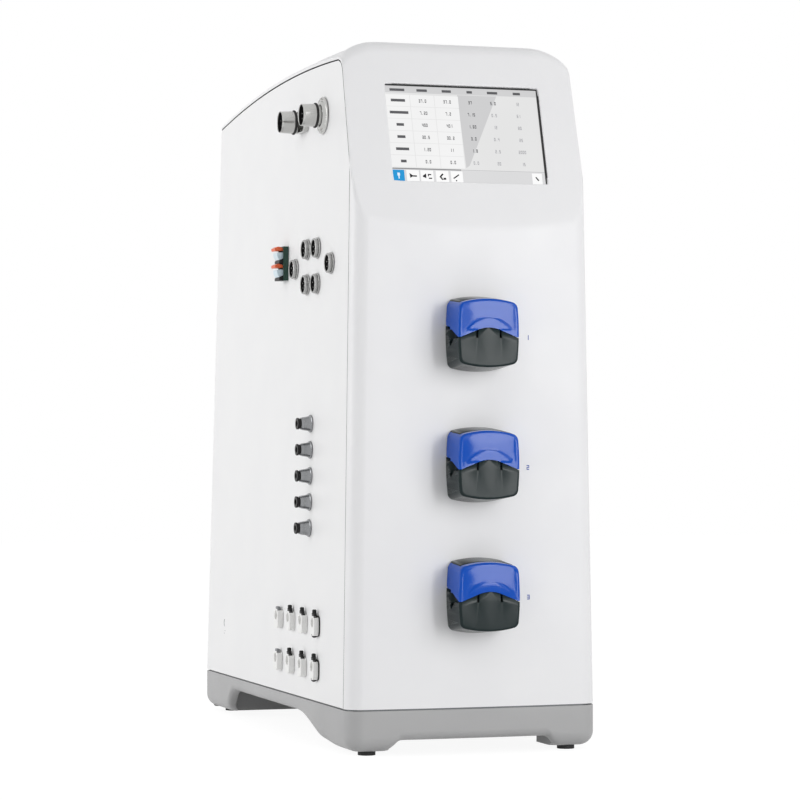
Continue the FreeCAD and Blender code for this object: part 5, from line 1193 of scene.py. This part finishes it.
# pale machined manifold blocks behind the ports
block_clear = finish_of("machined_block", "D2D5D8", "C8CBCF", 0.30, grain=1.0, relief=0.004)
for name, node, slot, material, width in (
        ("rubber_feet", "foot_pads", "rubber_black", rubber_black, 0.8),
        ("fan_housing", "fan_frame", "black_plastic", black_plastic, 0.3),
        ("mains_inlet", "power_inlet", "black_plastic", black_plastic, 0.3),
        ("barbed_inlets", "rear_gas_inlets", "fitting_metal", nickel, 0.2),
        ("data_sockets", "rear_data_sockets", "fitting_metal", nickel, 0.2),
        ("fold_screws", "panel_screws", "screw_steel", screw_steel, 0.3)):
    soften(smooth_copy(name, node, "station", material), width)
soften(smooth_copy("fan_wheel", "fan_rotor", "fan", black_plastic), 0.2)
soften(smooth_copy("rocker", "power_switch", "switch_rocker", black_plastic), 0.3)
for node, material in (("bulkhead", steel_sheet), ("control_board", board_green),
                       ("power_supply", supply_case), ("port_manifolds", block_clear)):
    paint_node(node, material)
print("feet, rear and inside finished")

# %% [markdown]
# ## Printed numerals
# Such stations carry small printed marks beside their ports. Here they are plain numerals: one for
# each pump and each gas fitting. Screen print is a layer of ink some hundredths of a millimetre
# thick, so each digit is a set of flat bars laid just in front of the surface, bent along with it.

# %% Numerals on the front and on the left panel
ink_blue = finish_of("blue_ink", "2F4FA6", "2C4A9C", 0.5, relief=0.001)
ink_grey = finish_of("grey_ink", "6D7076", "74777C", 0.5, relief=0.001)


def printed(areas, place):
    """One sheet per bar; place turns the bar's (right, down) millimetres into points on the surface."""
    return [(place(*np.array(area).T), np.array([[0, 1, 2, 3]])) for area in areas]


def on_front(right, down):
    """Points LIFT millimetres in front of the cover."""
    return np.stack([right, skin_y(right, -down) - LIFT, -down], axis=-1)


def on_left(right, down):
    """Points LIFT millimetres in front of the left panel."""
    return np.stack([-side_x(-down) - LIFT, -right, -down], axis=-1)


pump_marks = [area for number, level in enumerate(PUMP_LEVELS, start=1)
              for area in digits(str(number), 60.0, 3.0 - level, 3.0, 5.0)]
gas_marks = [area for number in range(1, 6)
             for area in digits(str(number), 142.0 - 17.0, 28.25 * (number - 1) - 346.0, 2.0, 3.4)]
piece("pump_numerals", printed(pump_marks, on_front), "station", ink_blue, outwards=False)
piece("gas_numerals", printed(gas_marks, on_left), "station", ink_grey, outwards=False)

# %% [markdown]
# ## Floor, light and camera
# A plain pale floor runs under the station. The light is a large soft source in front and above, a
# stronger one from the left and a pale world, as in a studio tent, so each pale face keeps its own
# tone. A tall narrow strip stands where the lids mirror it towards the camera. Camera rays see the
# world as white; light rays see it dimmer. The floor is mixed in the same way, part paint and part
# white, so it fades into the background and still keeps the station's shadow.

# %% Floor
def rays_that_see(tree):
    """1 for camera, glossy and transmission rays, and 0 for the rays that only carry light."""
    ray = add_node(tree, "ShaderNodeLightPath")
    seen = add_node(tree, "ShaderNodeMath", {"operation": "MAXIMUM"}, _0=ray.outputs["Is Camera Ray"],
                    _1=ray.outputs["Is Glossy Ray"])
    seen = add_node(tree, "ShaderNodeMath", {"operation": "MAXIMUM"}, _0=seen.outputs[0],
                    _1=ray.outputs["Is Transmission Ray"])
    return seen.outputs[0]


floor_mesh = bpy.data.meshes.new("floor")
floor_mesh.from_pydata([(-6, -6, 0), (6, -6, 0), (6, 6, 0), (-6, 6, 0)], [], [(0, 1, 2, 3)])
floor = bpy.data.objects.new("floor", floor_mesh)
bpy.context.scene.collection.objects.link(floor)
floor_paint = bpy.data.materials.new("studio_floor")
floor_paint.use_nodes = True
tree = floor_paint.node_tree
tree.nodes.clear()
share = add_node(tree, "ShaderNodeMapRange", Value=rays_that_see(tree), To_Min=0.0, To_Max=0.82)
paint = add_node(tree, "ShaderNodeBsdfDiffuse", Color=linear("F2F2F2"))
bright = add_node(tree, "ShaderNodeEmission", Color=(1, 1, 1, 1), Strength=1.12)
blend = add_node(tree, "ShaderNodeMixShader", _0=share.outputs["Result"], _1=paint.outputs["BSDF"],
                 _2=bright.outputs["Emission"])
add_node(tree, "ShaderNodeOutputMaterial", Surface=blend.outputs["Shader"])
floor_mesh.materials.append(floor_paint)


# %% Lamps and world
def soft_box(name, place, target, width, height, watts):
    """A white rectangular area lamp at place, turned to face target."""
    lamp = bpy.data.lights.new(name, "AREA")
    lamp.shape = "RECTANGLE"
    lamp.size, lamp.size_y = width, height
    lamp.energy = watts
    made = bpy.data.objects.new(name, lamp)
    bpy.context.scene.collection.objects.link(made)
    made.location = place
    toward = Vector(target) - Vector(place)
    made.rotation_euler = toward.to_track_quat("-Z", "Y").to_euler()


soft_box("front_box", (1.4, -2.8, 1.15), (0, 0, 0.3), 1.6, 1.6, 23)
soft_box("strip_box", (1.03, -3.1, 0.5), (0, -0.3, 0.35), 0.28, 1.3, 13)
soft_box("left_box", (-3.0, 0.9, 1.0), (0, 0, 0.4), 1.8, 1.8, 38)
world = bpy.data.worlds.new("studio")
bpy.context.scene.world = world
world.use_nodes = True
tree = world.node_tree
tree.nodes.clear()
strength = add_node(tree, "ShaderNodeMapRange", Value=rays_that_see(tree), To_Min=0.55, To_Max=1.0)
shade = add_node(tree, "ShaderNodeBackground", Color=(1, 1, 1, 1), Strength=strength.outputs["Result"])
add_node(tree, "ShaderNodeOutputWorld", Surface=shade.outputs["Background"])

# %% Camera
camera_data = bpy.data.cameras.new("camera")
camera_data.lens = 136.3
camera_data.sensor_width = 36.0
camera = bpy.data.objects.new("camera", camera_data)
bpy.context.scene.collection.objects.link(camera)
camera.location = (-1.04633, -3.27525, 0.3332)
camera.rotation_euler = (math.radians(90.671), 0.0, math.radians(-17.97))
bpy.context.scene.camera = camera
bpy.context.scene.view_settings.view_transform = "Standard"
